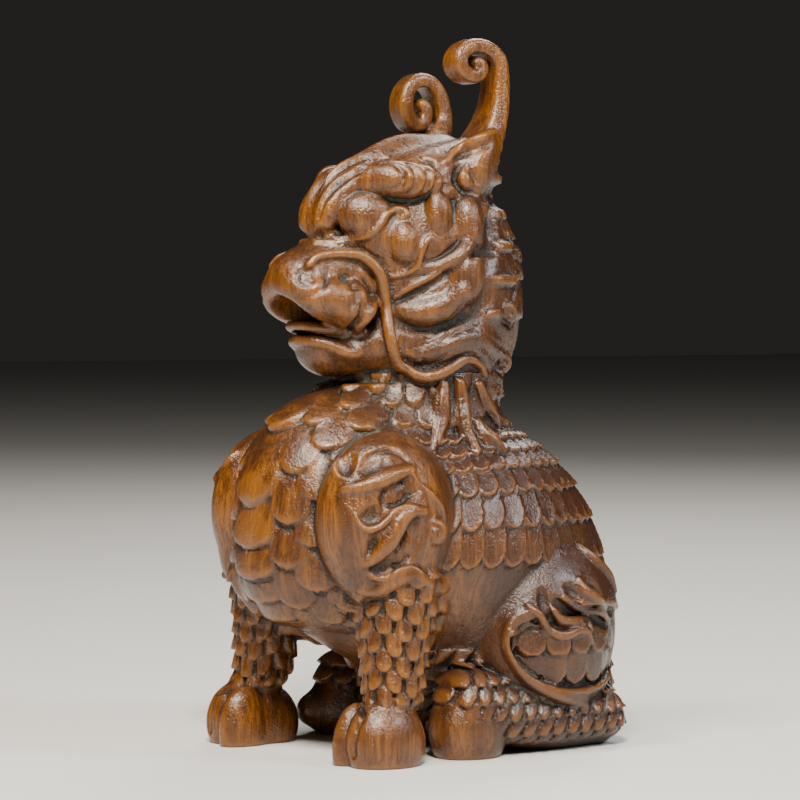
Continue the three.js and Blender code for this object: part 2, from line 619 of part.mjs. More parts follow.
// Merges the ends of the edges that matter least, until the limit of triangles is met.
function simplify({ points, triangles }, limit) {
  const errors = points.map(() => new Array(10).fill(0));
  const around = points.map(() => new Set());
  const stamps = new Uint32Array(points.length);
  triangles.forEach((triangle, n) => {
    const plane = planeError(...triangle.map((corner) => points[corner]));
    const care = careAt(points[triangle[0]]);
    for (const corner of triangle) {
      around[corner].add(n);
      plane.forEach((value, k) => {
        errors[corner][k] += value * care;
      });
    }
  });
  const queue = new Queue();
  const measure = (from, to) => {
    const sum = errors[from].map((value, k) => value + errors[to][k]);
    const middle = points[from].clone().add(points[to]).multiplyScalar(0.5);
    const length = points[from].distanceTo(points[to]);
    const best = bestPoint(sum);
    const place = best && best.distanceTo(middle) < length ? best : middle;
    const cost = errorAt(sum, place) + 1e-4 * length * length;
    queue.push({ from, to, place, cost, stamp: stamps[from] + stamps[to] });
  };
  const ring = (corner) => {
    const found = new Set([...around[corner]].flatMap((n) => triangles[n]));
    found.delete(corner);
    return found;
  };
  for (const triangle of triangles) {
    triangle.forEach((from, k) => {
      const to = triangle[(k + 1) % 3];
      if (from < to) {
        measure(from, to);
      }
    });
  }
  let left = triangles.length;
  while (left > limit && queue.items.length > 0) {
    const { from, to, place, stamp } = queue.pop();
    if (stamp !== stamps[from] + stamps[to] || around[from].size * around[to].size === 0) {
      continue;
    }
    const ends = ring(to);
    const shared = [...ring(from)].filter((n) => ends.has(n));
    if (shared.length !== 2 || turnsOver(points, triangles, around, from, to, place)) {
      continue;
    }
    points[from] = place;
    errors[from] = errors[from].map((value, k) => value + errors[to][k]);
    for (const n of around[to]) {
      if (triangles[n].includes(from)) {
        triangles[n].forEach((corner) => around[corner].delete(n));
        left -= 1;
      } else {
        triangles[n] = triangles[n].map((corner) => (corner === to ? from : corner));
        around[from].add(n);
      }
    }
    around[to].clear();
    stamps[from] += 1;
    ring(from).forEach((corner) => measure(from, corner));
  }
  const used = new Set(around.flatMap((faces) => [...faces]));
  return { points, triangles: [...used].map((n) => triangles[n]) };
}

// Whether moving both ends of an edge to one place would turn a neighbouring triangle over.
function turnsOver(points, faces, around, from, to, place) {
  const normal = (corners) => corners[1].clone().sub(corners[0]).cross(corners[2].clone().sub(corners[0]));
  return [...around[from], ...around[to]].some((n) => {
    const face = faces[n];
    if (face.includes(from) && face.includes(to)) {
      return false;
    }
    const before = normal(face.map((corner) => points[corner]));
    const after = normal(face.map((corner) => (corner === from || corner === to ? place : points[corner])));
    return before.dot(after) < 0.1 * before.length() * after.length();
  });
}

function geometryOf({ points, triangles }) {
  const geometry = new THREE.BufferGeometry();
  const numbers = new Map();
  const positions = [];
  const index = triangles.flat().map((n) => {
    if (!numbers.has(n)) {
      numbers.set(n, numbers.size);
      positions.push(...points[n].toArray());
    }
    return numbers.get(n);
  });
  geometry.setAttribute('position', new THREE.Float32BufferAttribute(positions, 3));
  geometry.setIndex(index);
  return geometry;
}

function solidOf(wasm, geometry) {
  const bare = geometry.clone();
  bare.deleteAttribute('normal');
  bare.deleteAttribute('uv');
  const merged = mergeVertices(bare);
  return new wasm.Manifold(new wasm.Mesh({
    numProp: 3,
    vertProperties: merged.attributes.position.array,
    triVerts: new Uint32Array(merged.index.array),
  }));
}

// Cuts away what reaches below the floor, so that the hooves and the rump stand flat.
async function cutFlat(geometry) {
  const wasm = await Module();
  wasm.setup();
  const depth = 20 * UNIT;
  const slab = new THREE.BoxGeometry(4 * HEIGHT, 4 * HEIGHT, depth);
  slab.translate(0, 0, -depth / 2);
  const cut = solidOf(wasm, geometry).subtract(solidOf(wasm, slab)).getMesh();
  const flat = new THREE.BufferGeometry();
  flat.setAttribute('position', new THREE.Float32BufferAttribute(cut.vertProperties, 3));
  flat.setIndex([...cut.triVerts]);
  flat.computeVertexNormals();
  return flat;
}

async function makeQilin() {
  const half = new Wood(drawn(0, -24, -8), drawn(34, 66, 132));
  carveTorso(half);
  scaleTorso(half);
  carveHead(half);
  carveMane(half);
  carveMuzzle(half);
  carveJaw(half);
  carveCheek(half);
  carveBrow(half);
  carveWhisker(half);
  carveEar(half);
  carveForeleg(half);
  carveShoulder(half);
  carveHindLeg(half);
  carveThigh(half);
  carveTail(half);
  const whole = half.unfolded();
  growHorn(whole, 1, HORN_CURLS[0], HORN_TOPS[0]);
  growHorn(whole, -1, HORN_CURLS[1], HORN_TOPS[1]);
  const geometry = await cutFlat(geometryOf(simplify(largestShell(meshSkin(whole)), FACES)));
  const wood = new THREE.MeshStandardMaterial({ color: 0x7a4522, roughness: 0.38, metalness: 0 });
  const qilin = new THREE.Mesh(geometry, wood);
  qilin.name = 'qilin';
  geometry.computeBoundingBox();
  const centre = geometry.boundingBox.getCenter(new THREE.Vector3());
  qilin.position.set(-centre.x, -centre.y, 0);
  return qilin;
}

const figure = new THREE.Group();
figure.add(await makeQilin());

export default figure;
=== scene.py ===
"""A carved wooden qilin, sculpted as distances to its skin on a grid, with an oiled hardwood finish."""

import math

import bpy
import numpy as np
import openvdb
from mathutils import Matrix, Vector


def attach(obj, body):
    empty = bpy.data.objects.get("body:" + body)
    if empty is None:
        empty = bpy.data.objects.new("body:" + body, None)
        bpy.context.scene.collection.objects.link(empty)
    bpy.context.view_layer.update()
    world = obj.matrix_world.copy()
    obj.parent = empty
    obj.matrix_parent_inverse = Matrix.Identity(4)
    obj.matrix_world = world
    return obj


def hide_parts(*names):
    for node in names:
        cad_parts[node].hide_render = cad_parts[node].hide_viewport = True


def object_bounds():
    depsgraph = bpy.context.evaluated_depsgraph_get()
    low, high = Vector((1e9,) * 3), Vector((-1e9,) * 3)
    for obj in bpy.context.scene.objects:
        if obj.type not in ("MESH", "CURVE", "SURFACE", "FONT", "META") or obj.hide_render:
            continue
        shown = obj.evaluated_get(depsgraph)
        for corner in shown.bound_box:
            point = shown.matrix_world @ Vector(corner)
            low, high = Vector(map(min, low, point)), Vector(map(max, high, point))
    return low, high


bl_info = {
    "name": "Carved Qilin",
    "version": (1, 0, 0),
    "blender": (4, 5, 0),
    "location": "3D View > Sidebar > Qilin",
    "description": "Carves the qilin figure and sets its stage",
    "category": "Object",
}

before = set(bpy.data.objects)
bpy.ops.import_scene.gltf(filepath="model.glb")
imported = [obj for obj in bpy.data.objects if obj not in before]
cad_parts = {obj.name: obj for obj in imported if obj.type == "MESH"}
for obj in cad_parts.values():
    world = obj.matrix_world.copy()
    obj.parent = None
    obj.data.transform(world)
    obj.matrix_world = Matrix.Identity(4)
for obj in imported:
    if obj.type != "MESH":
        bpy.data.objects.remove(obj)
CAD_LOW, CAD_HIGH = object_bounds()

MM = 0.001
DRAWN_HEIGHT = 125.0  # floor to the taller horn, in the frame that the figure is drawn in, in mm
DRAWN_MIDDLE = 21.81  # the middle of the drawn figure's box along Y
BLOCK_LOW = (0, -24, -2)  # the corners of the half block that is carved
BLOCK_HIGH = (34, 66, 128)
FAR = 40.0  # distance given to air that no mass comes near
BAND = 4.0  # how near the skin a relief acts
TINY = 1e-9  # keeps a division from zero
RAY_STEP = 0.2  # how closely a line of sight is followed
RAY_SPAN = 80.0  # how far before and behind the figure's middle it is followed
FINE_WEAR = 0.8  # reach of the smoothing that tells rims from cuts
BROAD_WEAR = 3.2  # reach of the smoothing that tells hollows from swells
FILM_REACH = 4.0  # how far from its middle a patch of film fades out

# The viewer's place for the photograph, in the drawn frame, in millimetres and degrees.
VIEW_AZIMUTH = 55.0
VIEW_DISTANCE = 520.0
VIEW_HEIGHT = 76.0
VIEW_PITCH = 1.63
VIEW_ASIDE = -2.1
VIEW_MIDDLE = 19.3
IMAGE_SIDE = 800
SENSOR = 36.0
LENS = 131.5


def smoothstep(value, low, high):
    share = np.clip((value - low) / (high - low), 0, 1)
    return share * share * (3 - 2 * share)


def lerp(a, b, share):
    return a + (b - a) * share


def blend(a, b, width):
    """Joins two distances with a rounded fillet of about the given width."""
    h = np.maximum(width - np.abs(a - b), 0) / width
    return np.minimum(a, b) - h * h * (width / 4)


def spline(stops, steps):
    """A smooth curve through rows of numbers, with the given count of steps between two rows."""
    stops = np.asarray(stops, float)
    ends = np.vstack([2 * stops[0] - stops[1], stops, 2 * stops[-1] - stops[-2]])
    t = np.linspace(0, 1, steps, endpoint=False)[:, None]
    spans = [
        b + 0.5 * ((c - a) * t + (2 * a - 5 * b + 4 * c - d) * t**2 + (3 * b - a - 3 * c + d) * t**3)
        for a, b, c, d in zip(ends, ends[1:], ends[2:], ends[3:])
    ]
    return np.vstack([*spans, stops[-1:]])


def chance(a, b):
    """A number from 0 to 1 that looks random and depends only on a and b."""
    wave = np.sin(a * 12.9898 + b * 78.233) * 43758.5453
    return wave - np.floor(wave)


class Egg:
    """An ellipsoid, leaned about X and then turned about Z, by angles in degrees."""

    def __init__(self, centre, radii, lean=0, turn=0):
        self.centre = np.array(centre, float)
        self.radii = radii
        lean, turn = math.radians(lean), math.radians(turn)
        leaned = [[1, 0, 0], [0, math.cos(lean), math.sin(lean)], [0, -math.sin(lean), math.cos(lean)]]
        turned = [[math.cos(turn), math.sin(turn), 0], [-math.sin(turn), math.cos(turn), 0], [0, 0, 1]]
        self.axes = np.array(leaned) @ np.array(turned)
        reach = np.sqrt(((self.axes * np.array(radii)[:, None]) ** 2).sum(axis=0))
        self.low, self.high = self.centre - reach, self.centre + reach

    def distance(self, x, y, z):
        x, y, z = x - self.centre[0], y - self.centre[1], z - self.centre[2]
        size, slope = 0, 0
        for axis, radius in zip(self.axes, self.radii):
            share = (axis[0] * x + axis[1] * y + axis[2] * z) / radius
            size = size + share**2
            slope = slope + (share / radius) ** 2
        size = np.sqrt(size)
        return size * (size - 1) / np.sqrt(np.maximum(slope, TINY))


class Rod:
    """A rod through (x, y, z, radius) stops.

    Below 1, flat makes it wider across X than it is thick. Its section is round with a power of 2 and
    squarer with a higher one.
    """

    def __init__(self, stops, steps=4, flat=1.0, power=2):
        self.rows = spline(stops, steps)
        self.flat = flat
        self.power = power
        reach = self.rows[:, 3:] / flat
        self.low, self.high = (self.rows[:, :3] - reach).min(0), (self.rows[:, :3] + reach).max(0)

    def distance(self, x, y, z):
        nearest = np.float32(FAR)
        for a, b in zip(self.rows, self.rows[1:]):
            dx, dy, dz, grow = b - a
            long = max(dx * dx + dy * dy + dz * dz, TINY)
            t = np.clip(((x - a[0]) * dx + (y - a[1]) * dy + (z - a[2]) * dz) / long, 0, 1)
            aside = np.abs(x - a[0] - dx * t) * self.flat
            off = np.sqrt((y - a[1] - dy * t) ** 2 + (z - a[2] - dz * t) ** 2)
            off = (aside**self.power + off**self.power) ** (1 / self.power)
            nearest = np.minimum(nearest, off - a[3] - grow * t)
        return nearest


class Wood:
    """The block being carved: distances to its skin on a grid, negative inside, in millimetres."""

    def __init__(self, low, high, cell):
        self.low = np.array(low, float)
        self.cell = cell
        count = np.round((np.array(high) - self.low) / cell).astype(int) + 1
        self.values = np.full(count, FAR, np.float32)

    def window(self, low, high):
        """The slices of the grid inside a box, and the places of their points along each axis."""
        first = np.clip(np.floor((low - self.low) / self.cell).astype(int), 0, self.values.shape)
        last = np.clip(np.ceil((high - self.low) / self.cell).astype(int) + 1, first, self.values.shape)
        axes = [np.arange(a, b, dtype=np.float32) * np.float32(self.cell) + np.float32(low)
                for a, b, low in zip(first, last, self.low)]
        return tuple(slice(a, b) for a, b in zip(first, last)), axes

    def join(self, shape, width, sign=1):
        """Adds a shape with a fillet of some width, or takes it away where sign is -1."""
        margin = width + 2 * self.cell
        where, (x, y, z) = self.window(shape.low - margin, shape.high + margin)
        part = self.values[where]
        distance = shape.distance(x[:, None, None], y[None, :, None], z[None, None, :])
        part[...] = sign * blend(sign * part, distance, width)

    def carve(self, shape, width):
        self.join(shape, width, -1)

    def emboss(self, low, high, height):
        """Raises the skin inside a box by height(x, y, z)."""
        where, axes = self.window(np.array(low), np.array(high))
        part = self.values[where]
        near = np.nonzero(np.abs(part) < BAND)
        part[near] -= height(*(axis[k] for axis, k in zip(axes, near))).astype(np.float32)

    def sample(self, points):
        """The distances at some points of a figure whose half with x at or above 0 is in the grid."""
        return self.sample_at(np.abs(points) * (1, 0, 0) + points * (0, 1, 1))

    def sample_at(self, points):
        """The distances at some places inside the grid."""
        place = np.clip((points - self.low) / self.cell, 0, np.array(self.values.shape) - 1.001)
        base = place.astype(int)
        share = place - base
        total = 0
        for i in (0, 1):
            for j in (0, 1):
                for k in (0, 1):
                    weight = np.abs(1 - np.array([i, j, k]) - share).prod(axis=1)
                    total = total + weight * self.values[base[:, 0] + i, base[:, 1] + j, base[:, 2] + k]
        return total

    def normal(self, point):
        steps = np.eye(3) * self.cell
        slope = self.sample(point + steps) - self.sample(point - steps)
        return slope / max(np.linalg.norm(slope), TINY)

    def hit(self, start, direction, reach):
        """Where a line from start first meets the skin, or the skin nearest to a line that passes it."""
        along = np.arange(0, reach, RAY_STEP)
        line = start + along[:, None] * direction
        values = self.sample(line)
        inside = np.nonzero(values < 0)[0]
        if len(inside) == 0:
            n = values.argmin()
            point = line[n] - self.normal(line[n]) * values[n]
        else:
            n = max(inside[0], 1)
            point = line[n - 1] + (line[n] - line[n - 1]) * values[n - 1] / (values[n - 1] - values[n])
        point[0] = abs(point[0])
        return point

    def seen(self, px, py):
        """The place on the skin that the photograph shows at a pixel."""
        eye, right, up, ahead = viewer()
        focal = LENS / SENSOR * IMAGE_SIDE
        direction = ahead + right * (px - IMAGE_SIDE / 2) / focal - up * (py - IMAGE_SIDE / 2) / focal
        direction /= np.linalg.norm(direction)
        return self.hit(eye + direction * (VIEW_DISTANCE - RAY_SPAN), direction, 2 * RAY_SPAN)

    def laid(self, route, radii, lift):
        """Stops of a rod laid on the skin along a route of pixels, raised by a share of its radius."""
        shares = np.linspace(0, 1, len(route))
        sizes = np.interp(shares, np.linspace(0, 1, len(radii)), radii)
        stops = []
        for (px, py), radius in zip(route, sizes):
            point = self.seen(px, py)
            stops.append([*(point + self.normal(point) * lift * radius), radius])
        return stops

    def ridge(self, route, radii, lift=0.0, width=0.5):
        self.join(Rod(self.laid(route, radii, lift)), width)

    def groove(self, route, radii, lift=0.0, width=0.4):
        self.carve(Rod(self.laid(route, radii, lift)), width)

    def at(self, pixel, lift):
        """A place over or under the skin at a pixel, along the skin's normal."""
        point = self.seen(*pixel)
        return point + self.normal(point) * lift

    def lump(self, pixel, radii, lift=0.0, width=0.5, lean=0, turn=0):
        self.join(Egg(self.at(pixel, lift), radii, lean, turn), width)

    def pit(self, pixel, radii, lift=0.0, width=0.4, lean=0, turn=0):
        self.carve(Egg(self.at(pixel, lift), radii, lean, turn), width)

    def strands(self, first, last, count, radii, lift=0.0, width=0.2):
        """Grooves side by side that part strands of hair, from one route of pixels to another."""
        first, last = np.array(first, float), np.array(last, float)
        shares = np.linspace(0, 1, count)
        for rod in [Rod(self.laid(lerp(first, last, share), radii, lift)) for share in shares]:
            self.carve(rod, width)


def viewer():
    """The photograph's eye and its directions right, up and ahead, in the drawn frame."""
    azimuth, pitch = math.radians(VIEW_AZIMUTH), math.radians(VIEW_PITCH)
    back = np.array([math.sin(azimuth), -math.cos(azimuth), 0])
    right = np.array([math.cos(azimuth), math.sin(azimuth), 0])
    eye = np.array([0, VIEW_MIDDLE, VIEW_HEIGHT]) + back * VIEW_DISTANCE + right * VIEW_ASIDE
    ahead = -back * math.cos(pitch) - np.array([0, 0, math.sin(pitch)])
    return eye, right, np.cross(right, ahead), ahead


def coil(middle, outer, inner, turns, start):
    """A route of pixels that winds inward round a middle, from an angle in degrees."""
    shares = np.linspace(0, 1, max(int(turns * 8), 4))
    angles = np.radians(start + 360 * turns * shares)
    reach = lerp(outer, inner, shares)
    return [(middle[0] + r * math.cos(a), middle[1] + r * math.sin(a)) for r, a in zip(reach, angles)]


def scales(u, v, taper, stagger=0.5, rim=0.0, bulge=1.0, soft=0.08, tilt=0.0, overlap=0.0, lean=0.0):
    """Overlapping scales: u counts columns and v rows downward. Gives 0 in a gap and about 1 at a tip.

    taper is the rounded share of a scale's length and stagger the shift from row to row. rim hollows a
    scale inside its edge, bulge drops its sides, soft is the width of its edge, tilt raises one side,
    overlap widens it and lean slants it.
    """

    def tongue(row):
        shifted = u - stagger * row + lean * (v - row)
        column = np.round(shifted)
        luck = chance(column, row)
        across = shifted - column
        down = v - row
        round_part = np.maximum(down - (1 - taper) - 0.06 * (luck - 0.5), 0) / taper
        edge = (0.5 + overlap) * np.sqrt(np.maximum(1 - round_part * round_part, 0)) - np.abs(across)
        crown = 1 - bulge * across * across - rim * smoothstep(edge, 0.06, 0.28)
        height = (0.1 + 0.9 * ((down + 0.4) / 1.4)) * crown * (0.9 + 0.2 * luck) + tilt * across
        return smoothstep(edge, 0, soft), height

    row = np.floor(v)
    upper_inside, upper = tongue(row)
    lower_inside, lower = tongue(row + 1)
    return upper_inside * upper + (1 - upper_inside) * lower * lower_inside


def mass(wood, x, y, z, rx, ry, rz, width=2, lean=0, turn=0):
    wood.join(Egg((x, y, z), (rx, ry, rz), lean, turn), width)


def hollow(wood, x, y, z, rx, ry, rz, width=0.8, lean=0, turn=0):
    wood.carve(Egg((x, y, z), (rx, ry, rz), lean, turn), width)


def limb(wood, stops, width=1):
    wood.join(Rod(stops), width)


# The torso's masses: the middle, the three radii and the width of the fillet, in mm.
TORSO_MASSES = (
    (0, 6, 43, 17.2, 20, 20, 0.5),
    (0, 5, 34, 17, 18.8, 13, 4),
    (0, 22, 36, 24.2, 30, 23.5, 4),
    (0, 33.4, 25, 21.8, 24.4, 27.5, 4),
    (0, 36.6, 10, 21, 22, 16, 4),
    (0, 20, 62, 13.5, 14.5, 17, 6),
)


def carve_torso(wood):
    for row in TORSO_MASSES:
        mass(wood, *row)


# The egg that the rings of scales run round: its middle along Y and Z and its three radii, in mm.
RINGS_Y = 18
RINGS_Z = 32
RINGS_WIDE = 26
RINGS_DEEP = 37
RINGS_TALL = 30
NECK_COLUMNS = 26  # scales in a ring round the neck
FLANK_COLUMNS = 50  # scales in a ring round the body
FLANK_END = 31  # how high the rings end at the flank, in mm
BACK_END = 21  # how high they end at the chest and back
CHEST_EDGE = (0.92, 0.84)  # where the plates end and are whole, as an angle from the front in radians
# How far down the body each ring of scales and each plate of the chest's middle column ends, in mm.
RING_TIPS = (-2.0, 1.6, 4.9, 8.2, 11.5, 14.8, 18.1, 21.4, 24.6, 28.2, 33.2, 39.4, 46.2, 53.0, 60.0, 67.0)
PLATE_TIPS = (-1.0, 10.6, 22.9, 35.2, 42.4, 48.5, 53.6, 58.5, 63.5)
KEEL_HALF = 0.33  # half the width of the chest's middle column, in radians
PLATE_HALF = 0.19  # and of the columns beside it
PLATE_COLUMNS = ((0.39, 0.38), (0.58, 0.88), (0.77, 0.38))  # each one's middle and the shift of its rows
NECK_FALL = 20.0  # how far down the rings of the neck reach


def scale_torso(wood, sizes):
    """Scales run in rings round the neck and down over the body, and broad plates down the chest."""

    def column(around, middle, half, rows):
        share = (around - middle) / (2 * half)
        plate = scales(share, rows, 0.45, 0, 0, 1.1, 0.13)
        return np.where(np.abs(share) < 0.5, plate, 0) * sizes.plate_rise / MM

    def height(x, y, z):
        across = x / RINGS_WIDE
        back = (y - RINGS_Y) / RINGS_DEEP
        fall = np.arctan2(np.hypot(across, back) * RINGS_TALL, z - RINGS_Z) * RINGS_TALL
        around = np.arctan2(across, -back)
        turn = around / (2 * np.pi)
        ring = np.interp(fall, RING_TIPS, np.arange(len(RING_TIPS)))
        neck = scales(turn * NECK_COLUMNS, ring, 0.6, 0.5, 0.2, 1.2) * 0.8
        flank = scales(turn * FLANK_COLUMNS, ring, 0.5, -0.1, 0.3, 0.4, 0.06, 0.3, 0.05, 0.25)
        small = np.where(fall < NECK_FALL, neck, flank) * sizes.scale_rise / MM
        broad = column(around, 0, KEEL_HALF, np.interp(fall, PLATE_TIPS, np.arange(len(PLATE_TIPS))))
        for middle, shift in PLATE_COLUMNS:
            beside = column(around, middle, PLATE_HALF, fall * MM / sizes.chest_plate + shift)
            broad = np.maximum(broad, 0.85 * beside)
        chest = smoothstep(around, *CHEST_EDGE)
        end = lerp(FLANK_END, BACK_END, np.maximum(smoothstep(y, 34, 46), chest))
        return lerp(small, broad, chest) * smoothstep(z - end, 0, 3)

    wood.emboss((0, -24, 12), (36, 66, 66), height)


# Where a pale film is left in the cuts, in the photograph's pixels.
FILM_SPOTS = (
    (378, 372), (346, 338), (300, 394), (262, 402), (396, 214), (350, 296), (405, 405), (372, 428),
    (318, 240), (300, 352), (512, 700), (540, 712), (352, 262), (232, 470), (420, 170),
)

# Where the head's cuts, ridges and lumps lie in the photograph, in its pixels.
BROW_GROOVES = (
    ((309, 227), (312, 204), (325, 183), (342, 168), (366, 158)),
    ((318, 218), (324, 200), (339, 183), (360, 169), (380, 162), (396, 161)),
)
CURL_GROOVES = (
    ((394, 165), (403, 173), (402, 184), (394, 190)),
    ((402, 162), (413, 169), (417, 180), (414, 190), (406, 195)),
    ((412, 160), (425, 168), (429, 180), (424, 193), (416, 199)),
    ((420, 158), (433, 165), (438, 179), (433, 192), (425, 200)),
)
BROW_UNDER = (
    (336, 231), (345, 216), (357, 205), (371, 201), (387, 201), (409, 203), (421, 199), (431, 191),
)
LID = (
    (305, 230), (319, 236), (335, 239), (355, 240), (369, 236), (380, 226), (387, 215), (395, 210),
    (404, 211), (407, 216), (403, 218),
)
BROW_DIMPLE = (329, 220)
EYE_CORNER = (331, 235)
CHEEK_BALL = (405, 244)
CHEEK_SIDE = (384, 240)
TEMPLE = (439, 214)
CRESCENT_NECK = ((446, 192), (458, 194), (470, 200), (479, 210))
CRESCENT_TOP = (469, 224)
CRESCENT_MID = (467, 274)
CRESCENT_LOW = ((462, 294), (450, 304), (434, 311), (418, 314), (403, 311))
CRESCENT_EDGE = (
    (456, 190), (474, 192), (488, 208), (492, 241), (490, 277), (484, 300), (468, 315), (448, 325),
    (424, 328), (404, 325),
)
CRESCENT_NOTCH = ((490, 250), (480, 252), (470, 255), (462, 259))
FLAME_A = ((392, 278), (407, 274), (417, 267), (421, 254), (425, 244), (431, 238), (436, 242))
FLAME_B = ((421, 270), (442, 266), (459, 255), (469, 243), (475, 233))
FLAME_C = ((395, 298), (412, 287), (430, 278), (440, 272))
FLAME_GROOVES = (
    ((425, 262), (441, 258), (455, 247), (466, 234)),
    ((424, 276), (445, 273), (461, 262), (477, 248)),
    ((398, 303), (414, 294), (432, 285), (446, 278)),
)
NOSTRIL = (304, 277)
NOSTRIL_RING = ((322, 266), (327, 278), (322, 289), (311, 296), (298, 297))
LOBE_EDGE = ((322, 326), (335, 330), (350, 328), (360, 318), (363, 304))
POCKET_PITS = ((345, 279), (355, 287), (359, 298), (353, 306))
MUZZLE_CRESCENT = ((362, 273), (370, 285), (372, 298), (368, 312), (358, 325), (345, 334))
BRIDGE_FOLD = ((303, 239), (316, 243), (330, 244), (346, 245), (362, 245), (374, 252))
WHISKER = (
    (309, 266), (317, 260), (332, 257), (348, 257), (362, 259), (374, 268), (381, 279), (385, 295),
    (388, 312), (389, 330), (392, 346), (397, 361), (407, 371), (421, 378), (437, 376), (451, 367),
    (462, 359), (471, 360), (479, 367), (482, 375),
)
EAR_CURL = ((477, 157), (465, 161), (457, 171), (456, 183), (463, 192), (473, 192))
EAR_SLIT = ((474, 161), (470, 169), (474, 178), (480, 184))
EAR_BULB = (465, 180)
EAR_EDGE = ((446, 163), (452, 155), (462, 148), (480, 139), (496, 132))
EAR_INSIDE = ((454, 158), (463, 153), (474, 150), (487, 145))
BEARD = ((408, 354), (424, 356), (440, 350), (455, 343), (470, 340), (484, 345), (496, 355), (503, 364))
BEARD_TOP = ((418, 346), (438, 341), (458, 331), (476, 329), (492, 338), (508, 352))
BEARD_LOW = ((414, 366), (434, 364), (454, 353), (472, 348), (486, 358), (497, 371))
TUFT_TOP = ((434, 327), (447, 321), (458, 311), (464, 300))
TUFT_LOW = ((436, 338), (458, 334), (478, 322), (488, 306))
LOCKS = (
    ((443, 386), (441, 402), (440, 418), (437, 432), (434, 446)),
    ((459, 384), (460, 402), (461, 418), (466, 434), (477, 450)),
    ((478, 386), (481, 400), (487, 412), (497, 424)),
    ((476, 424), (481, 434), (491, 443), (502, 449)),
)
LOCK_SIDE = 3  # how far beside a lock's middle its two grooves run, in pixels
MANE_CURLS = ((521, 253), (510, 317), (505, 366))

# Rods of the head: stops of x, y, z and radius, in mm.
SKULL_CREST = ((0, 9, 95.5, 6), (0, 15, 99, 6.8), (0, 25, 102, 6.5))
SKULL_SIDE = ((5, 11, 96, 5), (7, 16, 99, 5.6), (7, 26, 102, 5.5))
UPPER_LIP = ((0, -8.2, 81.7, 2.1), (3.6, -7, 80.8, 2.6), (6, -3.8, 79.2, 3.7), (6.8, 0.4, 78.2, 4.3))
BRIDGE = ((0, 0, 86.5, 2.8), (0, 5, 89.5, 4))
JAW_SIDE = ((4, 5, 70.5, 4), (7, 11, 72, 5))
LOWER_LIP = ((0, -5.2, 74.4, 0.8), (2.8, -4.6, 74.3, 0.9), (4.8, -2, 73.8, 0.9), (5.8, 1, 73.4, 0.8))
CHIN_FOLD = (
    (0, -4.6, 71.8, 1), (3.2, -3.6, 71.6, 1.05), (5.2, -1.4, 70.9, 1.05),
    (6.5, 0.6, 69.8, 1.05), (7, 2.4, 69.6, 1), (7.3, 3.8, 70.9, 0.8),
)
BROW_CREST = (
    (0, -1.3, 91.6, 1.2), (0, -0.9, 94.6, 1.5), (0, 1.2, 98, 1.7), (0, 4.4, 100.8, 1.9),
    (0, 8, 102.4, 2), (0, 12, 104.4, 2), (0, 15.4, 105.8, 2), (0, 19, 106.4, 2), (0, 24, 106, 1.8),
)
BROW_LOBE = (
    (2.4, -0.8, 92.4, 2.0), (2.7, 0.2, 94.6, 2.5), (2.9, 2.4, 97.2, 2.9), (4.2, 5.2, 98.9, 3.1),
    (6.9, 7.2, 99.4, 3.3), (9.3, 8.9, 99.6, 3.3), (11.2, 11.3, 99.4, 3.1), (12.2, 14, 99.2, 2.6),
)


def carve_head(wood):
    mass(wood, 0, 22.1, 80, 16.2, 17.2, 22, 3)
    mass(wood, 0, 18, 90, 14, 16, 13, 4)
    limb(wood, SKULL_CREST, 2)
    limb(wood, SKULL_SIDE, 2)


MANE_Y = 19  # the mane's middle along Y, in mm
MANE_STEP = 5.9  # how far apart its steps behind the cheek are, in mm
MANE_LOCK = 7.2  # how long a row of locks is, in mm
MANE_COLUMNS = 22  # locks in a row all the way round
MANE_STRANDS = 104  # strands all the way round


def carve_mane(wood):
    """Behind the cheek the mane is cut in stepped rows of locks, each with fine strands."""

    def height(x, y, z):
        around = np.arctan2(x, y - MANE_Y) / (2 * np.pi) + 0.01 * np.sin(z * 0.55)
        behind = smoothstep(y, 23.5, 26)
        steps = smoothstep(np.abs((94.2 - z) / MANE_STEP % 1 - 0.5), 0.3, 0.42) * smoothstep(z, 72, 76)
        locks = scales(around * MANE_COLUMNS, (104 - z) / MANE_LOCK, 0.5, 0.5, 0, 1.2, 0.2) * 0.9
        strand = 0.16 * np.sin(around * MANE_STRANDS * 2 * np.pi)
        side = smoothstep(y, 22, 24) * smoothstep(y, 35, 31)
        return (locks + strand) * behind * smoothstep(y, 28, 33) + steps * 0.8 * side

    wood.emboss((0, 20, 62), (26, 46, 106), height)


def carve_muzzle(wood):
    mass(wood, 0, 3.5, 83.5, 8.2, 11, 6.5, 3)
    mass(wood, 0, -3.4, 83, 6.8, 6.4, 4.2, 2)
    limb(wood, UPPER_LIP, 1.2)
    limb(wood, BRIDGE, 2)
    hollow(wood, 0, -5.5, 76.4, 4.6, 8, 3.5, 1.2, 8)
    wood.groove(NOSTRIL_RING, (0.3, 0.55, 0.3), 0.2)
    wood.groove(coil(NOSTRIL, 10.5, 2, 1.6, -60), (0.4, 0.45, 0.3), 0.15)
    for pixel in POCKET_PITS:
        wood.pit(pixel, (1.0, 1.1, 1.0), 0.3, 0.8)
    wood.ridge(MUZZLE_CRESCENT, (0.6, 1.2, 1.3, 0.7), 0.1)
    wood.groove(LOBE_EDGE, (0.3, 0.6, 0.5), 0.1)
    wood.ridge(BRIDGE_FOLD, (0.5, 0.7, 0.5), 0.1)


def carve_jaw(wood):
    mass(wood, 0, 2.4, 70.2, 6.5, 6.6, 4.8, 0.6)
    limb(wood, JAW_SIDE, 2)
    limb(wood, LOWER_LIP, 0.8)
    limb(wood, CHIN_FOLD, 1.0)


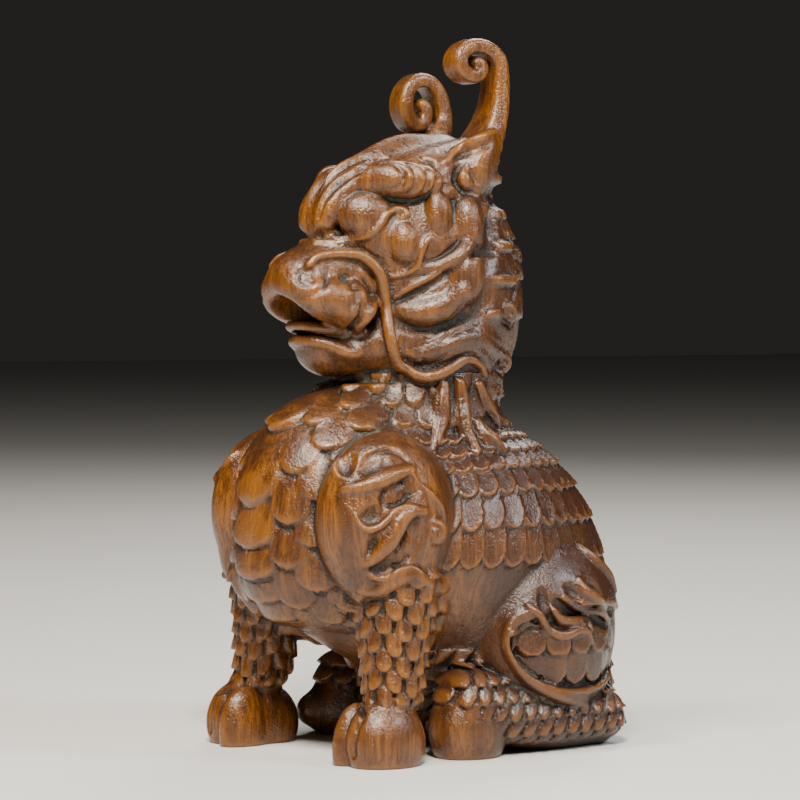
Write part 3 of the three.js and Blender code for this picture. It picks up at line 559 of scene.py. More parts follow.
def carve_brow(wood):
    """The brow is a broad lobe that ends in nested curls, over a lidded eye."""
    limb(wood, BROW_CREST, 1.6)
    limb(wood, BROW_LOBE, 0.5)
    for route in BROW_GROOVES:
        wood.groove(route, (0.5, 1.0, 1.0, 0.5), 0.2)
    for route in CURL_GROOVES:
        wood.groove(route, (0.3, 0.6, 0.6, 0.3), 0.1, 0.2)
    wood.groove(BROW_UNDER, (0.4, 0.6, 0.6, 0.4), 0.1)
    wood.pit(BROW_DIMPLE, (0.5, 0.5, 0.6), 0.1, 0.2)
    mass(wood, 6.6, 4.8, 93.2, 3.3, 5.0, 4.4, 0.3, 0, -30)
    wood.lump(EYE_CORNER, (1.6, 1.8, 1.8), -0.6, 0.8)


def carve_cheek(wood):
    wood.lump(CHEEK_SIDE, (2.4, 3.6, 3.2), -2.0, 1.6)
    wood.lump(CHEEK_BALL, (2.8, 2.9, 4.0), -1.2, 0.5)
    wood.lump(TEMPLE, (2.3, 2.6, 4.2), -0.7, 0.5)
    wood.groove(CRESCENT_EDGE, (1.2, 2.0, 2.2, 2.0, 1.2), 0.5, 1.0)
    wood.ridge(CRESCENT_NECK, (1.4, 2.0, 2.2, 1.8), -0.2, 0.8)
    wood.lump(CRESCENT_TOP, (3.0, 3.0, 5), -0.7, 0.7, 0, -35)
    wood.lump(CRESCENT_MID, (3.2, 3.4, 5.4), -0.8, 0.7, 0, -35)
    wood.ridge(CRESCENT_LOW, (2.0, 2.6, 2.6, 1.8), -0.4, 0.7)
    wood.groove(CRESCENT_NOTCH, (1.2, 1.0, 0.7, 0.4), 0.3, 0.8)
    wood.ridge(LID, (0.4, 0.6, 0.6, 0.6, 0.45), 0.1, 0.4)
    for route in FLAME_GROOVES:
        wood.groove(route, (0.3, 0.6, 0.6, 0.3), 0.2)
    wood.ridge(FLAME_B, (0.8, 1.4, 1.4, 0.7), -0.4, 0.5)
    for route in (FLAME_A, FLAME_C):
        wood.ridge(route, (0.4, 0.6, 0.6, 0.4), 0.2, 0.3)


def carve_beard(wood):
    wood.ridge(BEARD, (0.6, 2.0, 2.6, 2.6, 2.2, 1.2), -0.3, 1.0)
    wood.strands(TUFT_TOP, TUFT_LOW, 7, (0.15, 0.4, 0.4, 0.15), 0.1)
    wood.strands(BEARD_TOP, BEARD_LOW, 9, (0.15, 0.4, 0.45, 0.4, 0.25), 0.1)
    for middle in MANE_CURLS:
        wood.lump(middle, (2, 2.2, 2.2), -1.2)
        wood.groove(coil(middle, 9, 2, 1.5, 90), (0.5, 0.5, 0.4), 0, 0.2)
    for route in LOCKS:
        wood.ridge(route, (1.0, 1.6, 1.5, 0.6), 0.2, 0.6)
        for aside in (-LOCK_SIDE, LOCK_SIDE):
            wood.groove([(px + aside, py) for px, py in route], (0.2, 0.4, 0.2), 0.1, 0.2)


def carve_whisker(wood, sizes):
    radius = sizes.whisker_radius / MM
    wood.ridge(WHISKER, (0.6 * radius, radius, radius, radius, 0.6 * radius), 0.75, 0.3)


def carve_ear(wood):
    mass(wood, 12, 24.5, 102.2, 2.6, 3.8, 7.2, 0.6, -28)
    wood.groove(EAR_INSIDE, (0.8, 1.3, 1.1, 0.6), 0.3, 0.6)
    wood.ridge(EAR_EDGE, (0.5, 0.8, 0.8, 0.6), 0.2, 0.5)
    wood.groove(EAR_CURL, (0.4, 0.8, 0.8, 0.7, 0.3), 0.2, 0.4)
    wood.lump(EAR_BULB, (1.2, 1.4, 1.8), -0.5, 0.5)
    wood.groove(EAR_SLIT, (0.4, 0.8, 0.5), 0.3, 0.3)


# Where the limbs' cuts, ridges and lumps lie in the photograph, in its pixels.
PAD_BASINS = (
    ((342, 474), (346, 467), (350, 459)),
    ((365, 470), (371, 466), (379, 460)),
    ((365, 517), (373, 516), (382, 511)),
    ((373, 568), (380, 567), (387, 563)),
)
PAD_ARCH = ((360, 470), (367, 459), (377, 453), (390, 451), (400, 455), (407, 461))
PAD_VALLEY = ((375, 537), (373, 548), (370, 560))
PAD_FLAMES = (
    ((345, 490), (361, 488), (376, 483), (388, 478), (400, 474), (411, 471)),
    ((424, 512), (412, 512), (402, 520), (396, 532), (388, 545), (376, 557), (367, 564)),
    ((361, 591), (376, 592), (388, 586), (400, 578), (412, 574), (422, 579), (430, 586)),
)
PAD_RIMS = (
    ((350, 481), (339, 478), (335, 468), (339, 459)),
    ((355, 515), (360, 525), (368, 530), (378, 528), (388, 520), (395, 512), (405, 507), (416, 507)),
    ((367, 571), (372, 577), (382, 579), (393, 576), (400, 571), (412, 568), (422, 573)),
    ((413, 474), (420, 486), (431, 496), (440, 507), (445, 520)),
)
PAD_WINDOWS = (
    ((388, 500), (396, 494), (406, 487), (416, 482)),
    ((414, 526), (411, 538), (404, 550), (397, 562)),
)
# The scales in the pad's openings: the middle in pixels and the radius in mm.
PAD_SCALES = (((412, 487), 2.6), ((394, 497), 2.9), ((414, 527), 2.2), ((411, 543), 2.6), ((398, 553), 2.4))
PAD_CURL = (436, 532)
THIGH_INNER = (
    (529, 613), (516, 618), (509, 630), (508, 646), (514, 660), (526, 677), (543, 689), (561, 697),
    (583, 704),
)
THIGH_LEAF = ((511, 634), (517, 629), (524, 624), (531, 623))
THIGH_GROOVES = (
    ((541, 590), (543, 600), (548, 613), (554, 626)),
    ((566, 586), (572, 592), (580, 598)),
    ((588, 582), (594, 590), (601, 598)),
)
THIGH_SLOT = ((556, 602), (564, 606), (578, 613), (594, 616), (605, 624))
THIGH_RIDGES = (
    ((528, 606), (539, 615), (546, 628), (556, 635), (567, 635), (578, 630), (586, 632), (591, 642)),
    ((553, 610), (561, 620), (572, 622), (584, 621), (590, 629)),
    ((563, 598), (575, 606), (587, 609), (599, 611), (607, 620)),
    ((578, 580), (585, 592), (597, 600), (604, 607)),
    ((577, 546), (591, 559), (606, 575), (615, 591)),
)
CLEFT = ((361, 709), (363, 716), (357, 727), (353, 742), (353, 755))

# Places on the limbs, tail and horns in the drawn frame, in mm. Rods are stops of x, y, z and radius.
LEG_X = 18  # the foreleg's middle, round which its scales run
LEG_Y = 3
LEG_COLUMNS = 10  # scales round the foreleg
SHANK = ((18.6, 45.5, 5, 5.2), (19, 34, 5.4, 5.6), (18.8, 24, 7.4, 5.6), (18.6, 18, 9.6, 5.4))
OPENING_Y = 38  # the middle of the thigh's opening, half its length, and how far it reaches up and down
OPENING_Z = 20
OPENING_LONG = 15.4
OPENING_UP = 5.8
OPENING_DOWN = 9.3
TAIL = ((0, 56.4, 3, 2.6), (0, 57, 12, 2.6), (0, 56.2, 22, 2.4), (0, 53, 31, 2.0))
TAIL_CURLS = ((5.5, 27), (7.5, 18), (6.5, 9))  # how far each curl reaches aside, and its height
HORN_X = 8.6  # the back of a horn's curl
HORN_Y = 31.2
HORN_TURN = 400  # degrees that a horn winds through
HORN_SHRINK = 480  # degrees after which its curl would have shrunk to nothing
NEAR_CURL = (5.3, 4.2)  # how far a horn's curl reaches, along Y and up
FAR_CURL = (5, 6.4)
FAR_HORN_DROP = 4.9  # how much lower the far horn ends
FAR_LEG_LOW = (6, -22, -2)  # the box, in the near half, of what is pushed forward on the far side
FAR_LEG_HIGH = (34, 14, 38)
FAR_HOOF = ((-17.6, -0.8, 3.2), (5.4, 6.6, 7.2))  # what makes the far hoof broader: middle and radii


def carve_foreleg(wood, sizes):
    radius = sizes.leg_radius / MM
    row = sizes.leg_scale / MM
    limb(wood, [[17.4, 4, 31, radius + 1.8], [17.8, 3, 20, radius], [18.2, 2.4, 11, radius - 1]], 2)

    def height(x, y, z):
        around = np.arctan2(x - LEG_X, LEG_Y - y) / (2 * np.pi)
        near = smoothstep(np.hypot(x - LEG_X, y - LEG_Y), 1.9 * radius, 1.6 * radius)
        fade = smoothstep(z, 36, 30) * smoothstep(z, 9.5, 11) * near
        rows = -z / row + 0.25 * np.sin(around * 20)
        return scales(around * LEG_COLUMNS, rows, 0.85, 0.5, 0, 1.6) * sizes.leg_scale_rise / MM * fade

    wood.emboss((8, -10, 9.5), (28, 14, 36), height)
    mass(wood, 19.2, 0.4, 3.6, 5.6, 7.2, 7.8, 0.8)
    mass(wood, 14.8, -2.4, 2.4, 3.0, 4.9, 8, 0.4)
    wood.groove(CLEFT, (0.5, 0.8, 0.9, 0.9), 0.2)


def carve_hind_leg(wood, sizes):
    row = sizes.leg_scale / MM
    limb(wood, SHANK, 1.5)

    def height(x, y, z):
        along = (y - 0.5 * z) / row
        return scales(along, -z / row, 0.85, 0.5, 0, 1.6) * sizes.leg_scale_rise / MM * smoothstep(z, 1, 3)

    wood.emboss((8, 12, 1), (30, 54, 18), height)
    mass(wood, 18.6, 18.0, 4.6, 6.2, 7.3, 8.0, 0.6)


def carve_shoulder(wood):
    """A broad pad, cut with flames round basins, a curl and two openings that show scales."""
    mass(wood, 16.8, 2.1, 41.4, 9, 13.2, 15, 0.4)
    for route in PAD_WINDOWS:
        wood.groove(route, (1.8, 2.6, 2.6, 1.8), 0.3, 0.3)
    for pixel, radius in PAD_SCALES:
        wood.lump(pixel, (0.55 * radius, radius, 1.0 * radius), -0.2 * radius, 0.15, 20)
    for route in PAD_BASINS:
        wood.groove(route, (1.5, 2.2, 1.5), 0.5, 0.3)
    wood.groove(PAD_ARCH, (0.3, 0.7, 0.7, 0.4), 0.2, 0.3)
    wood.groove(PAD_VALLEY, (0.8, 1.4, 0.8), 0.4, 0.6)
    for route in PAD_FLAMES:
        wood.ridge(route, (0.9, 1.5, 1.5, 0.9), -0.2, 0.5)
    for route in PAD_RIMS:
        wood.ridge(route, (0.3, 0.6, 0.6, 0.3), 0.2, 0.3)
    wood.lump(PAD_CURL, (1.6, 2.2, 2.4), 0, 0.4)
    wood.groove(coil(PAD_CURL, 8, 2, 1.2, 100), (0.5, 0.5, 0.4), 0.1, 0.2)


def carve_thigh(wood, sizes):
    """A round pad, cut with a crescent round scales, under flames that run back to the rump."""
    mass(wood, 17.2, 35.4, 20.6, 11.2, 15.2, 16.8, 0.4)
    wood.ridge(THIGH_INNER, (0.4, 0.9, 0.9, 1.0, 0.9), -0.1, 0.9)

    def height(x, y, z):
        high = (z - OPENING_Z) / np.where(z > OPENING_Z, OPENING_UP, OPENING_DOWN)
        opened = smoothstep(np.hypot((y - OPENING_Y) / OPENING_LONG, high), 1, 0.93) * smoothstep(x, 19, 21)
        shown = scales(y / 4.7 + 0.2, (22.3 - z) / 5.2, 0.5, -0.1, 0.2, 0.6, 0.06, 0.25, 0.04)
        return (shown * sizes.scale_rise - sizes.opening_depth) / MM * opened

    wood.emboss((18, 20, 4), (34, 54, 26), height)
    wood.ridge(THIGH_LEAF, (0.5, 1.1, 1.0, 0.4), 0, 0.3)
    wood.groove(THIGH_SLOT, (0.9, 1.6, 1.6, 1.0), 0.0, 0.3)
    for route in THIGH_GROOVES:
        wood.groove(route, (0.5, 1.2, 1.2, 0.6), 0.2, 0.4)
    for route in THIGH_RIDGES:
        wood.ridge(route, (0.5, 0.95, 0.95, 0.5), 0.2, 0.4)


def carve_tail(wood):
    """The tail lies up the rump in a shallow trough and parts in three curls on each side."""
    wood.carve(Rod(np.array(TAIL) + (0, 3.0, 0, 1.6)), 0.8)
    for side, rise in TAIL_CURLS:
        curl = [(0.5, 56.4, rise - 6, 1.7), (side * 0.6, 56, rise, 1.8), (side, 53.6, rise + 5, 1.2)]
        wood.carve(Rod(np.array(curl) + (0, 2.6, 0, 1.1)), 0.6)
        limb(wood, curl, 0.3)
    limb(wood, TAIL, 0.3)


def grow_horn(wood, sizes, side, curl, top):
    """A horn rises from the skull and rolls forward into a curl, over the top and round to its middle."""
    thick = sizes.horn_thickness / MM / 2
    long, high = curl
    x, back = HORN_X * side, HORN_Y

    def shrink(turn):
        return 1 - turn / HORN_SHRINK

    middle = top - high * shrink(90) - thick * 0.94
    rows = [
        [x * 0.9, back - 5.4, 102, thick * 2.2],
        [x * 0.96, back - 2, 108, thick * 1.5],
        [x, back - 0.2, (108 + middle) / 2, thick * 1.15],
    ]
    for turn in range(0, HORN_TURN + 1, 25):
        angle = math.radians(turn)
        y = back - long + long * shrink(turn) * math.cos(angle)
        z = middle + high * shrink(turn) * math.sin(angle)
        share = np.interp(turn, (0, 90, 180, 270, HORN_TURN), (1, 0.82, 0.95, 0.85, 0.8))
        rows.append([x, y, z, thick * share])
    wood.join(Rod(rows, 3, sizes.horn_thickness / sizes.horn_width, 4), 0.3)


def unfolded(half, forward):
    """The whole figure from the half with x at or above 0, its far foreleg pushed forward by some mm."""
    far = half.values.copy()
    where, axes = half.window(np.array(FAR_LEG_LOW), np.array(FAR_LEG_HIGH))
    x, y, z = np.meshgrid(*axes, indexing="ij")
    push = forward * smoothstep(z, 36, 27) * smoothstep(y, 13, 5) * smoothstep(x, 8, 12)
    push *= lerp(0.7, 1, smoothstep(z, 14, 8))
    far[where] = half.sample_at(np.stack([x, y + push, z], axis=-1).reshape(-1, 3)).reshape(x.shape)
    high = half.low + (np.array(half.values.shape) - 1) * half.cell
    whole = Wood((-high[0], half.low[1], half.low[2]), high, half.cell)
    whole.values = np.concatenate([far[:0:-1], half.values])
    return whole


def largest_part(count, edges):
    """Which of the points belong to the largest connected part."""
    label = np.arange(count)
    while True:
        lowest = np.minimum(label[edges[:, 0]], label[edges[:, 1]])
        joined = label.copy()
        np.minimum.at(joined, edges[:, 0], lowest)
        np.minimum.at(joined, edges[:, 1], lowest)
        joined = joined[joined]
        if np.array_equal(joined, label):
            break
        label = joined
    return label == np.bincount(label).argmax()


def skin_mesh(wood, name):
    """The largest closed skin, where the distances pass 0, as a mesh of four-sided faces."""
    grid = openvdb.FloatGrid(FAR)
    grid.copyFromArray(np.ascontiguousarray(wood.values))
    points, _, quads = grid.convertToPolygons(0.0, 0.0)
    edges = np.vstack([quads[:, [0, 1]], quads[:, [1, 2]], quads[:, [2, 3]], quads[:, [3, 0]]])
    kept = largest_part(len(points), edges)
    number = np.cumsum(kept) - 1
    quads = number[quads[kept[quads[:, 0]]]]
    mesh = bpy.data.meshes.new(name)
    mesh.from_pydata(points[kept] * wood.cell + wood.low, [], quads[:, ::-1])
    mesh.update()
    return mesh


def softened(values, reach):
    """Distances averaged twice over a cube of 2 * reach + 1 points, which wears ridges and fills cuts."""
    for axis in (0, 1, 2, 0, 1, 2):
        edges = [(reach + 1, reach) if k == axis else (0, 0) for k in range(3)]
        total = np.cumsum(np.pad(values, edges, "edge"), axis=axis)
        count = values.shape[axis]
        ahead = np.take(total, range(2 * reach + 1, 2 * reach + 1 + count), axis)
        values = (ahead - np.take(total, range(count), axis)) / (2 * reach + 1)
    return values


def carve_qilin(sizes):
    """Carves the half that the photograph shows, mirrors it, and adds what differs on the other side."""
    half = Wood(BLOCK_LOW, BLOCK_HIGH, sizes.cell / MM)
    carve_torso(half)
    scale_torso(half, sizes)
    carve_head(half)
    carve_mane(half)
    carve_muzzle(half)
    carve_jaw(half)
    carve_brow(half)
    carve_cheek(half)
    carve_ear(half)
    carve_beard(half)
    carve_whisker(half, sizes)
    carve_foreleg(half, sizes)
    carve_shoulder(half)
    carve_hind_leg(half, sizes)
    carve_thigh(half, sizes)
    carve_tail(half)
    spots = np.array([half.seen(*pixel) for pixel in FILM_SPOTS])
    whole = unfolded(half, sizes.far_leg_forward / MM)
    whole.join(Egg(*FAR_HOOF), 0.8)
    grow_horn(whole, sizes, 1, NEAR_CURL, DRAWN_HEIGHT)
    grow_horn(whole, sizes, -1, FAR_CURL, DRAWN_HEIGHT - FAR_HORN_DROP)
    levels = np.arange(whole.values.shape[2], dtype=np.float32) * np.float32(whole.cell)
    whole.values = np.maximum(whole.values, -(levels + np.float32(whole.low[2])))
    return whole, spots


def colour(name, description, default):
    return bpy.props.FloatVectorProperty(
        name=name, description=description, default=(*default, 1), subtype="COLOR", size=4, min=0, max=1)


def factor(name, description, default):
    return bpy.props.FloatProperty(
        name=name, description=description, default=default, subtype="FACTOR", min=0, max=1)


def length(name, description, default, least=0.0):
    """A length that is given in millimetres and kept in metres."""
    default, least = default * MM, least * MM
    return bpy.props.FloatProperty(
        name=name, description=description, default=default, min=least, precision=5, unit="LENGTH")


class WoodFinish(bpy.types.PropertyGroup):
    light_wood: colour("Light wood", "The palest bands of the grain", (0.2, 0.069, 0.008))
    dark_wood: colour("Dark wood", "The darkest bands of the grain", (0.09, 0.029, 0.004))
    streak: colour("Streak", "Fine lines and pores", (0.02, 0.006, 0.002))
    # Besides real patina, this colour is painted shade towards the back, at the rear's bottom, on
    # undersides and partly in hollows.
    patina_and_shade: colour("Patina", "Handled wood, browned by age", (0.034, 0.013, 0.007))
    worn: colour("Worn rim", "Where rims are rubbed bright", (0.24, 0.088, 0.013))
    # Near black: partly dark residue in the cuts, partly painted shade in cuts, hollows and on undersides.
    cut: colour("Cut", "The bottoms of the cuts", (0.008, 0.005, 0.003))
    film: colour("Film", "Pale dust left in the cuts", (0.09, 0.085, 0.045))
    oil_roughness: factor("Oil roughness", "Roughness of the thin film of oil", 0.2)


class CarvingSizes(bpy.types.PropertyGroup):
    cell: length("Grid", "Spacing of the grid that the figure is carved on", 0.36, 0.2)
    faces: bpy.props.IntProperty(
        name="Triangles", description="Most triangles on the skin", default=196000, min=1000)
    horn_thickness: length("Horn thickness", "Seen from the side, where the curl starts", 3.2)
    horn_width: length("Horn width", "Seen from the front", 5.4)
    whisker_radius: length("Whisker radius", "At the whisker's middle", 1.05)
    leg_radius: length("Leg radius", "Halfway down a foreleg", 5.4)
    far_leg_forward: length("Far foreleg", "How far the far foreleg stands before the near one", 4.3)
    chest_plate: length("Chest plate", "Length of one row of the chest's side plates", 8.2)
    leg_scale: length("Leg scale", "Length of one row on the legs", 3.1)
    leg_scale_rise: length("Leg scale rise", "How high a tip stands on the legs", 1.3)
    opening_depth: length("Thigh opening", "Depth of the crescent that shows scales", 2.2)
    scale_rise: length("Scale rise", "How high a tip stands on neck and body", 1.2)
    plate_rise: length("Plate rise", "How high a plate's tip stands on the chest", 2.0)


class StageLook(bpy.types.PropertyGroup):
    floor_light: colour("Floor, pale", "The floor's palest clouds", (0.6, 0.59, 0.57))
    floor_dark: colour("Floor, dark", "The floor between them", (0.55, 0.54, 0.52))
    floor_roughness: factor("Floor roughness", "From mirror to chalk", 0.6)
    floor_side: length("Floor side", "Length of the square floor's side", 8000)
    surround: colour("Surround", "Colour of the light from all round", (0.8, 0.77, 0.72))
    surround_strength: factor("Surround strength", "Brightness of the light from all round", 0.025)


def finished(wood, sizes, name):
    """The skin as an object with no more than the wanted count of triangles."""
    mesh = skin_mesh(wood, name)
    piece = bpy.data.objects.new(name, mesh)
    bpy.context.scene.collection.objects.link(piece)
    thin = piece.modifiers.new("Thin", "DECIMATE")
    thin.ratio = min(1.0, sizes.faces / (2 * len(mesh.polygons)))
    thin.use_collapse_triangulate = True
    thinned = bpy.data.meshes.new_from_object(piece.evaluated_get(bpy.context.evaluated_depsgraph_get()))
    piece.modifiers.clear()
    piece.data = thinned
    bpy.data.meshes.remove(mesh)
    thinned.name = name
    return piece


def corners(mesh):
    """The places of a mesh's points, a row each."""
    co = np.empty(len(mesh.vertices) * 3)
    mesh.vertices.foreach_get("co", co)
    return co.reshape(-1, 3)


def paint(mesh, name, values):
    """Keeps a number for each vertex, which the finish reads."""
    layer = mesh.attributes.new(name, "FLOAT", "POINT")
    layer.data.foreach_set("value", np.asarray(values, np.float32))


def mark_wear_and_shade(piece, wood, spots):
    """Marks rims and cuts, hollows and swells, what has film and what faces down, for the finish, which
    paints shade on what faces down and partly in the hollows.
    """
    points = corners(piece.data)
    near = np.clip(wood.values, -BAND, BAND)
    worn = Wood(wood.low, wood.low, wood.cell)
    worn.values = softened(near, round(FINE_WEAR / wood.cell))
    paint(piece.data, "rim", np.clip(worn.sample_at(points) / FINE_WEAR, -1, 1))
    # Hollows, which the finish darkens partly as real patina and partly as painted shade.
    coarse = Wood(wood.low, wood.low, 2 * wood.cell)
    coarse.values = softened(near[::2, ::2, ::2], round(BROAD_WEAR / coarse.cell))
    paint(piece.data, "hollow", np.clip(-coarse.sample_at(points) / BROAD_WEAR, -1, 1))
    film = np.zeros(len(points))
    for spot in spots:
        for side, share in ((1, 1), (-1, 0.5)):
            off = points - spot * (side, 1, 1)
            film = np.maximum(film, share * np.exp(-(off**2).sum(axis=1) / FILM_REACH**2))
    paint(piece.data, "film", film)
    # How far each point faces down: the finish darkens these points as painted shade on the undersides.
    normals = np.empty(len(points) * 3)
    piece.data.vertices.foreach_get("normal", normals)
    paint(piece.data, "under", np.clip(-normals.reshape(-1, 3)[:, 2], 0, 1))


def settle(piece):
    """Brings the drawn figure to the row frame: metres, the CAD box's height, and its middle along Y."""
    mesh = piece.data
    co = corners(mesh)
    scale = (CAD_HIGH.z - CAD_LOW.z) / (co[:, 2].max() - co[:, 2].min())
    shift = np.array([0, (CAD_LOW.y + CAD_HIGH.y) / 2 - DRAWN_MIDDLE * MM, 0])
    mesh.vertices.foreach_set("co", (co * scale + shift).ravel())
    mesh.shade_smooth()
    mesh.update()


class Flow:
    """An output of a shader's node that takes part in sums."""

    def __init__(self, tree, socket=None):
        self.tree = tree
        self.socket = socket

    def node(self, kind, settings=None, inputs=None, output=0):
        """Adds a node, its settings first and then its sockets' values or links, and gives an output."""
        node = self.tree.nodes.new(kind)
        for name, setting in (settings or {}).items():
            setattr(node, name, setting)
        for name, value in (inputs or {}).items():
            if isinstance(value, Flow):
                self.tree.links.new(value.socket, node.inputs[name])
            else:
                node.inputs[name].default_value = value
        return Flow(self.tree, node.outputs[output])

    def maths(self, operation, a, b=0.0):
        return self.node("ShaderNodeMath", {"operation": operation}, {0: a, 1: b})

    def __add__(self, other):
        return self.maths("ADD", self, other)

    __radd__ = __add__

    def __mul__(self, other):
        return self.maths("MULTIPLY", self, other)

    __rmul__ = __mul__

    def __sub__(self, other):
        return self.maths("SUBTRACT", self, other)

    def __rsub__(self, other):
        return self.maths("SUBTRACT", other, self)

    def clamp(self, low, high):
        """0 up to low, 1 from high, and smooth between."""
        settings = {"interpolation_type": "SMOOTHSTEP"}
        return self.node("ShaderNodeMapRange", settings, {"Value": self, "From Min": low, "From Max": high})

    def axis(self, name):
        return self.node("ShaderNodeSeparateXYZ", None, {"Vector": self}, name)

    def noise(self, scale, detail=2.0, roughness=0.5, output=0):
        inputs = {"Vector": self, "Scale": scale, "Detail": detail, "Roughness": roughness}
        return self.node("ShaderNodeTexNoise", None, inputs, output)

    def stretch(self, across, along):
        """The place with X and Y times across and Z times along, for what runs up the wood."""
        factors = (across, across, along)
        return self.node("ShaderNodeVectorMath", {"operation": "MULTIPLY"}, {0: self, 1: factors})

    def shifted(self, offset, share):
        """The place moved by how far a colour stands from middle grey, times a share."""
        inputs = {0: offset, 1: (0.5, 0.5, 0.5)}
        centred = self.node("ShaderNodeVectorMath", {"operation": "SUBTRACT"}, inputs)
        inputs = {0: centred, 1: (share, share, share), 2: self}
        return self.node("ShaderNodeVectorMath", {"operation": "MULTIPLY_ADD"}, inputs)

    def between(self, a, b):
        """Colour a, turning to b as this value goes from 0 to 1."""
        return self.node("ShaderNodeMix", {"data_type": "RGBA"}, {0: self, 6: a, 7: b}, 2)

    def mix(self, other, factor):
        """This colour, turning to another as the factor goes from 0 to 1."""
        return factor.between(self, other)


def floor_material(look):
    material = bpy.data.materials.new("pale_floor")
    material.use_nodes = True
    tree = material.node_tree
    cloud = Flow(tree).node("ShaderNodeTexCoord", None, None, "Object").noise(6, 3, 0.5)
    shader = tree.nodes["Principled BSDF"]
    shader.inputs["Roughness"].default_value = look.floor_roughness
    tree.links.new(cloud.between(look.floor_dark, look.floor_light).socket, shader.inputs["Base Color"])
    return material


def attribute(tree, name):
    """A number that the mesh keeps for each of its points."""
    return Flow(tree).node("ShaderNodeAttribute", {"attribute_name": name}, None, "Fac")


def wood_material(finish):
    """Oiled hardwood: upright grain and pores, dark cuts, polished rims and some pale film, with painted
    shade in the cuts and hollows, on the undersides and towards the back and bottom.
    """
    material = bpy.data.materials.new("oiled_hardwood")
    material.use_nodes = True
    tree = material.node_tree
    place = Flow(tree).node("ShaderNodeTexCoord", None, None, "Object").stretch(1 / MM, 1 / MM)
    rim = attribute(tree, "rim")
    film = attribute(tree, "film")
    # Painted shade: points that face down are darkened.
    under = attribute(tree, "under").clamp(0.1, 0.8)

    bent = place.shifted(place.noise(0.05, output="Color"), 5.0)
    figure = bent.stretch(1, 0.07).noise(0.32, 3, 0.55).clamp(0.36, 0.66)
    streaks = bent.stretch(1, 0.035).noise(1.5, 4, 0.65)
    hairs = bent.stretch(1, 0.05).noise(4.5, 2, 0.6)
    pores = bent.stretch(1, 0.09).noise(3.2, 1, 0.5).clamp(0.66, 0.74)
    grit = place.noise(2.6, 2, 0.6)
    patches = place.noise(0.09, 2, 0.5).clamp(0.38, 0.66)

    cut = (0 - rim).clamp(0.04, 0.42)
    proud = rim.clamp(0.05, 0.4)
    # Hollows are darkened, partly as real patina in them and partly as painted shade.
    sunk = attribute(tree, "hollow").clamp(0.0, 0.5)

    banded = figure.between(finish.dark_wood, finish.light_wood)
    streaked = banded.mix(finish.streak, (1 - streaks.clamp(0.4, 0.56)) * 0.55)
    fine = streaked.mix(finish.streak, (1 - hairs.clamp(0.36, 0.5)) * 0.3 + pores * 0.45)
    # Painted shade: the colour turns darker towards the back and flank, below the top of the head, and the
    # rims there are lightened less.
    behind = place.axis("Y").clamp(-18, 4) * (1 - place.axis("Z").clamp(96, 106))
    # Painted shade: darker towards the bottom at the rear.
    rump = place.axis("Y").clamp(-2, 28) * (1.4 - place.axis("Z").clamp(4, 30))
    # Random patches are real patina; the back, the rump's bottom, the undersides and part of the hollows
    # add painted shade.
    age_and_shade = patches * 0.3 + sunk * 0.5 + behind * 0.65 + rump * 0.35 + under * 0.6
    aged_and_shaded = fine.mix(finish.patina_and_shade, age_and_shade.clamp(0.0, 1.25))
    worn = aged_and_shaded.mix(finish.worn, proud * (0.5 - behind * 0.15))
    # Cuts and hollows are darkened partly as residue and partly as painted shade; undersides only as
    # painted shade.
    dark = worn.mix(finish.cut, (cut * 0.9 + sunk * grit * 0.35 + under * 0.25).clamp(0.05, 1.0))
    filmed = dark.mix(finish.film, (film * (0.3 + cut) * grit.clamp(0.35, 0.6)).clamp(0.08, 0.75) * 0.5)

    tooled = (cut + sunk * 0.7 + patches * 0.15).clamp(0.1, 1.0)
    height = streaks * 0.03 + place.noise(0.8, 1, 0.5) * 0.14 + (0.5 + tooled * 0.8) * grit * 0.32
    bump = height.node("ShaderNodeBump", None, {"Height": height, "Distance": MM, "Strength": 1.0})

    shader = tree.nodes["Principled BSDF"]
    shader.inputs["Coat Roughness"].default_value = finish.oil_roughness
    shader.inputs["Specular IOR Level"].default_value = 0.5
    roughness = 0.19 + tooled * 0.14 + streaks * 0.12 - proud * 0.05
    oil = 0.14 - tooled * 0.05
    flows = {"Base Color": filmed, "Roughness": roughness, "Coat Weight": oil, "Normal": bump}
    for name, flow in flows.items():
        tree.links.new(flow.socket, shader.inputs[name])
    return material


# The lights: name, azimuth and elevation in degrees, distance and side in metres, watts, colour.
LIGHTS = (
    ("key", 52, 52, 0.7, 0.18, 10.5, (1, 0.92, 0.8)),
    ("rim", 122, 38, 0.7, 0.15, 3, (0.85, 0.93, 1)),
    ("fill", 5, 62, 0.9, 0.18, 6, (1, 0.95, 0.88)),
    ("back", 218, 48, 0.8, 0.3, 3.4, (1, 0.95, 0.9)),
)
LIT_PLACE = (0, 0, 0.06)  # where the lights aim, in metres


def add_floor(scene, look):
    mesh = bpy.data.meshes.new("floor")
    half = look.floor_side / 2
    places = [(-half, -half, 0), (half, -half, 0), (half, half, 0), (-half, half, 0)]
    mesh.from_pydata(places, [], [(0, 1, 2, 3)])
    mesh.materials.append(floor_material(look))
    floor = bpy.data.objects.new("floor", mesh)
    scene.collection.objects.link(floor)


def add_light(scene, name, azimuth, elevation, distance, side, power, tint):
    data = bpy.data.lights.new(name, "AREA")
    data.color = tint
    data.size = side
    data.energy = power
    lamp = bpy.data.objects.new(name, data)
    a, e = math.radians(azimuth), math.radians(elevation)
    lamp.location = Vector((math.sin(a) * math.cos(e), -math.cos(a) * math.cos(e), math.sin(e))) * distance
    lamp.rotation_euler = (Vector(LIT_PLACE) - lamp.location).to_track_quat("-Z", "Y").to_euler()
    scene.collection.objects.link(lamp)


def add_world(scene, look):
    world = bpy.data.worlds.new("studio")
    world.use_nodes = True
    background = world.node_tree.nodes["Background"]
    background.inputs["Color"].default_value = look.surround
    background.inputs["Strength"].default_value = look.surround_strength
    scene.world = world


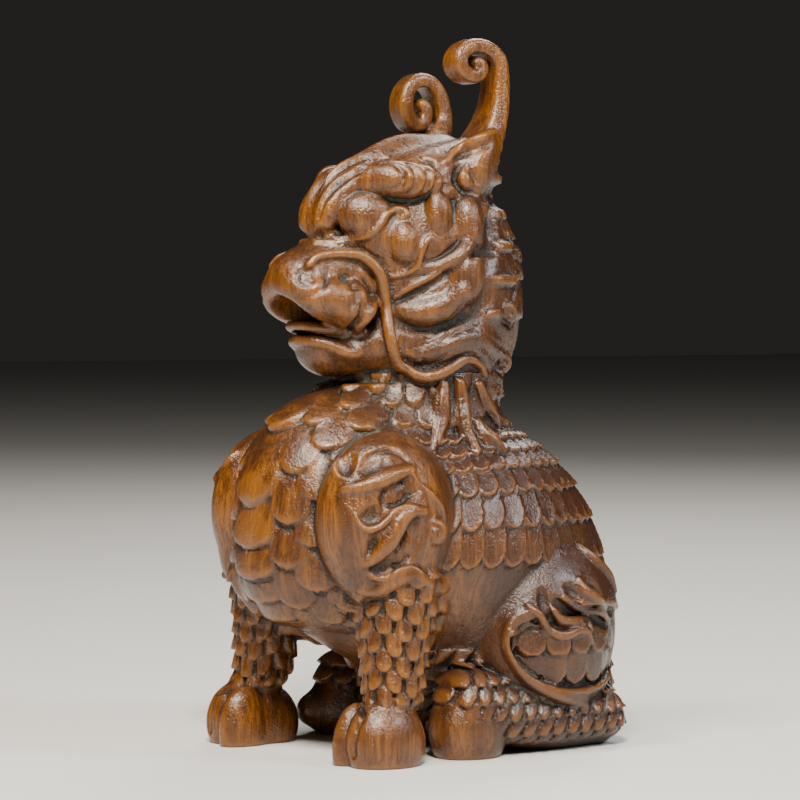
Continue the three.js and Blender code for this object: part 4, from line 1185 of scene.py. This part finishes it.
def add_camera(scene):
    eye, _, _, ahead = viewer()
    data = bpy.data.cameras.new("photo")
    data.lens = LENS
    data.sensor_width = SENSOR
    camera = bpy.data.objects.new("photo", data)
    camera.location = eye * MM + np.array([0, (CAD_LOW.y + CAD_HIGH.y) / 2 - DRAWN_MIDDLE * MM, 0])
    camera.rotation_euler = Vector(ahead).to_track_quat("-Z", "Y").to_euler()
    scene.collection.objects.link(camera)
    scene.camera = camera


class OBJECT_OT_carve_qilin(bpy.types.Operator):
    """Carves the qilin and gives it its wood finish"""

    bl_idname = "object.carve_qilin"
    bl_label = "Carve qilin"

    def execute(self, context):
        sizes = context.scene.qilin_sizes
        wood, spots = carve_qilin(sizes)
        piece = finished(wood, sizes, "carved_qilin")
        mark_wear_and_shade(piece, wood, spots)
        settle(piece)
        piece.data.materials.append(wood_material(context.scene.qilin_finish))
        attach(piece, "root")
        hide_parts("qilin")
        return {"FINISHED"}


class OBJECT_OT_set_stage(bpy.types.Operator):
    """Sets the pale floor, the lights and the camera"""

    bl_idname = "object.set_stage"
    bl_label = "Set stage"

    def execute(self, context):
        scene = context.scene
        look = scene.qilin_stage
        add_floor(scene, look)
        add_world(scene, look)
        for row in LIGHTS:
            add_light(scene, *row)
        add_camera(scene)
        return {"FINISHED"}


class VIEW3D_PT_qilin(bpy.types.Panel):
    """The sizes, colours and steps of the qilin"""

    bl_label = "Qilin"
    bl_idname = "VIEW3D_PT_qilin"
    bl_space_type = "VIEW_3D"
    bl_region_type = "UI"
    bl_category = "Qilin"

    def draw(self, context):
        scene = context.scene
        for group in (scene.qilin_sizes, scene.qilin_finish, scene.qilin_stage):
            box = self.layout.box()
            for name in type(group).__annotations__:
                box.prop(group, name)
        self.layout.operator(OBJECT_OT_set_stage.bl_idname)
        self.layout.operator(OBJECT_OT_carve_qilin.bl_idname)


CLASSES = (CarvingSizes, WoodFinish, StageLook, OBJECT_OT_carve_qilin, OBJECT_OT_set_stage, VIEW3D_PT_qilin)


def register():
    for cls in CLASSES:
        bpy.utils.register_class(cls)
    bpy.types.Scene.qilin_sizes = bpy.props.PointerProperty(type=CarvingSizes)
    bpy.types.Scene.qilin_finish = bpy.props.PointerProperty(type=WoodFinish)
    bpy.types.Scene.qilin_stage = bpy.props.PointerProperty(type=StageLook)


def unregister():
    del bpy.types.Scene.qilin_stage
    del bpy.types.Scene.qilin_finish
    del bpy.types.Scene.qilin_sizes
    for cls in reversed(CLASSES):
        bpy.utils.unregister_class(cls)


def main():
    register()
    bpy.ops.object.set_stage()
    bpy.ops.object.carve_qilin()


if __name__ == "__main__":
    main()
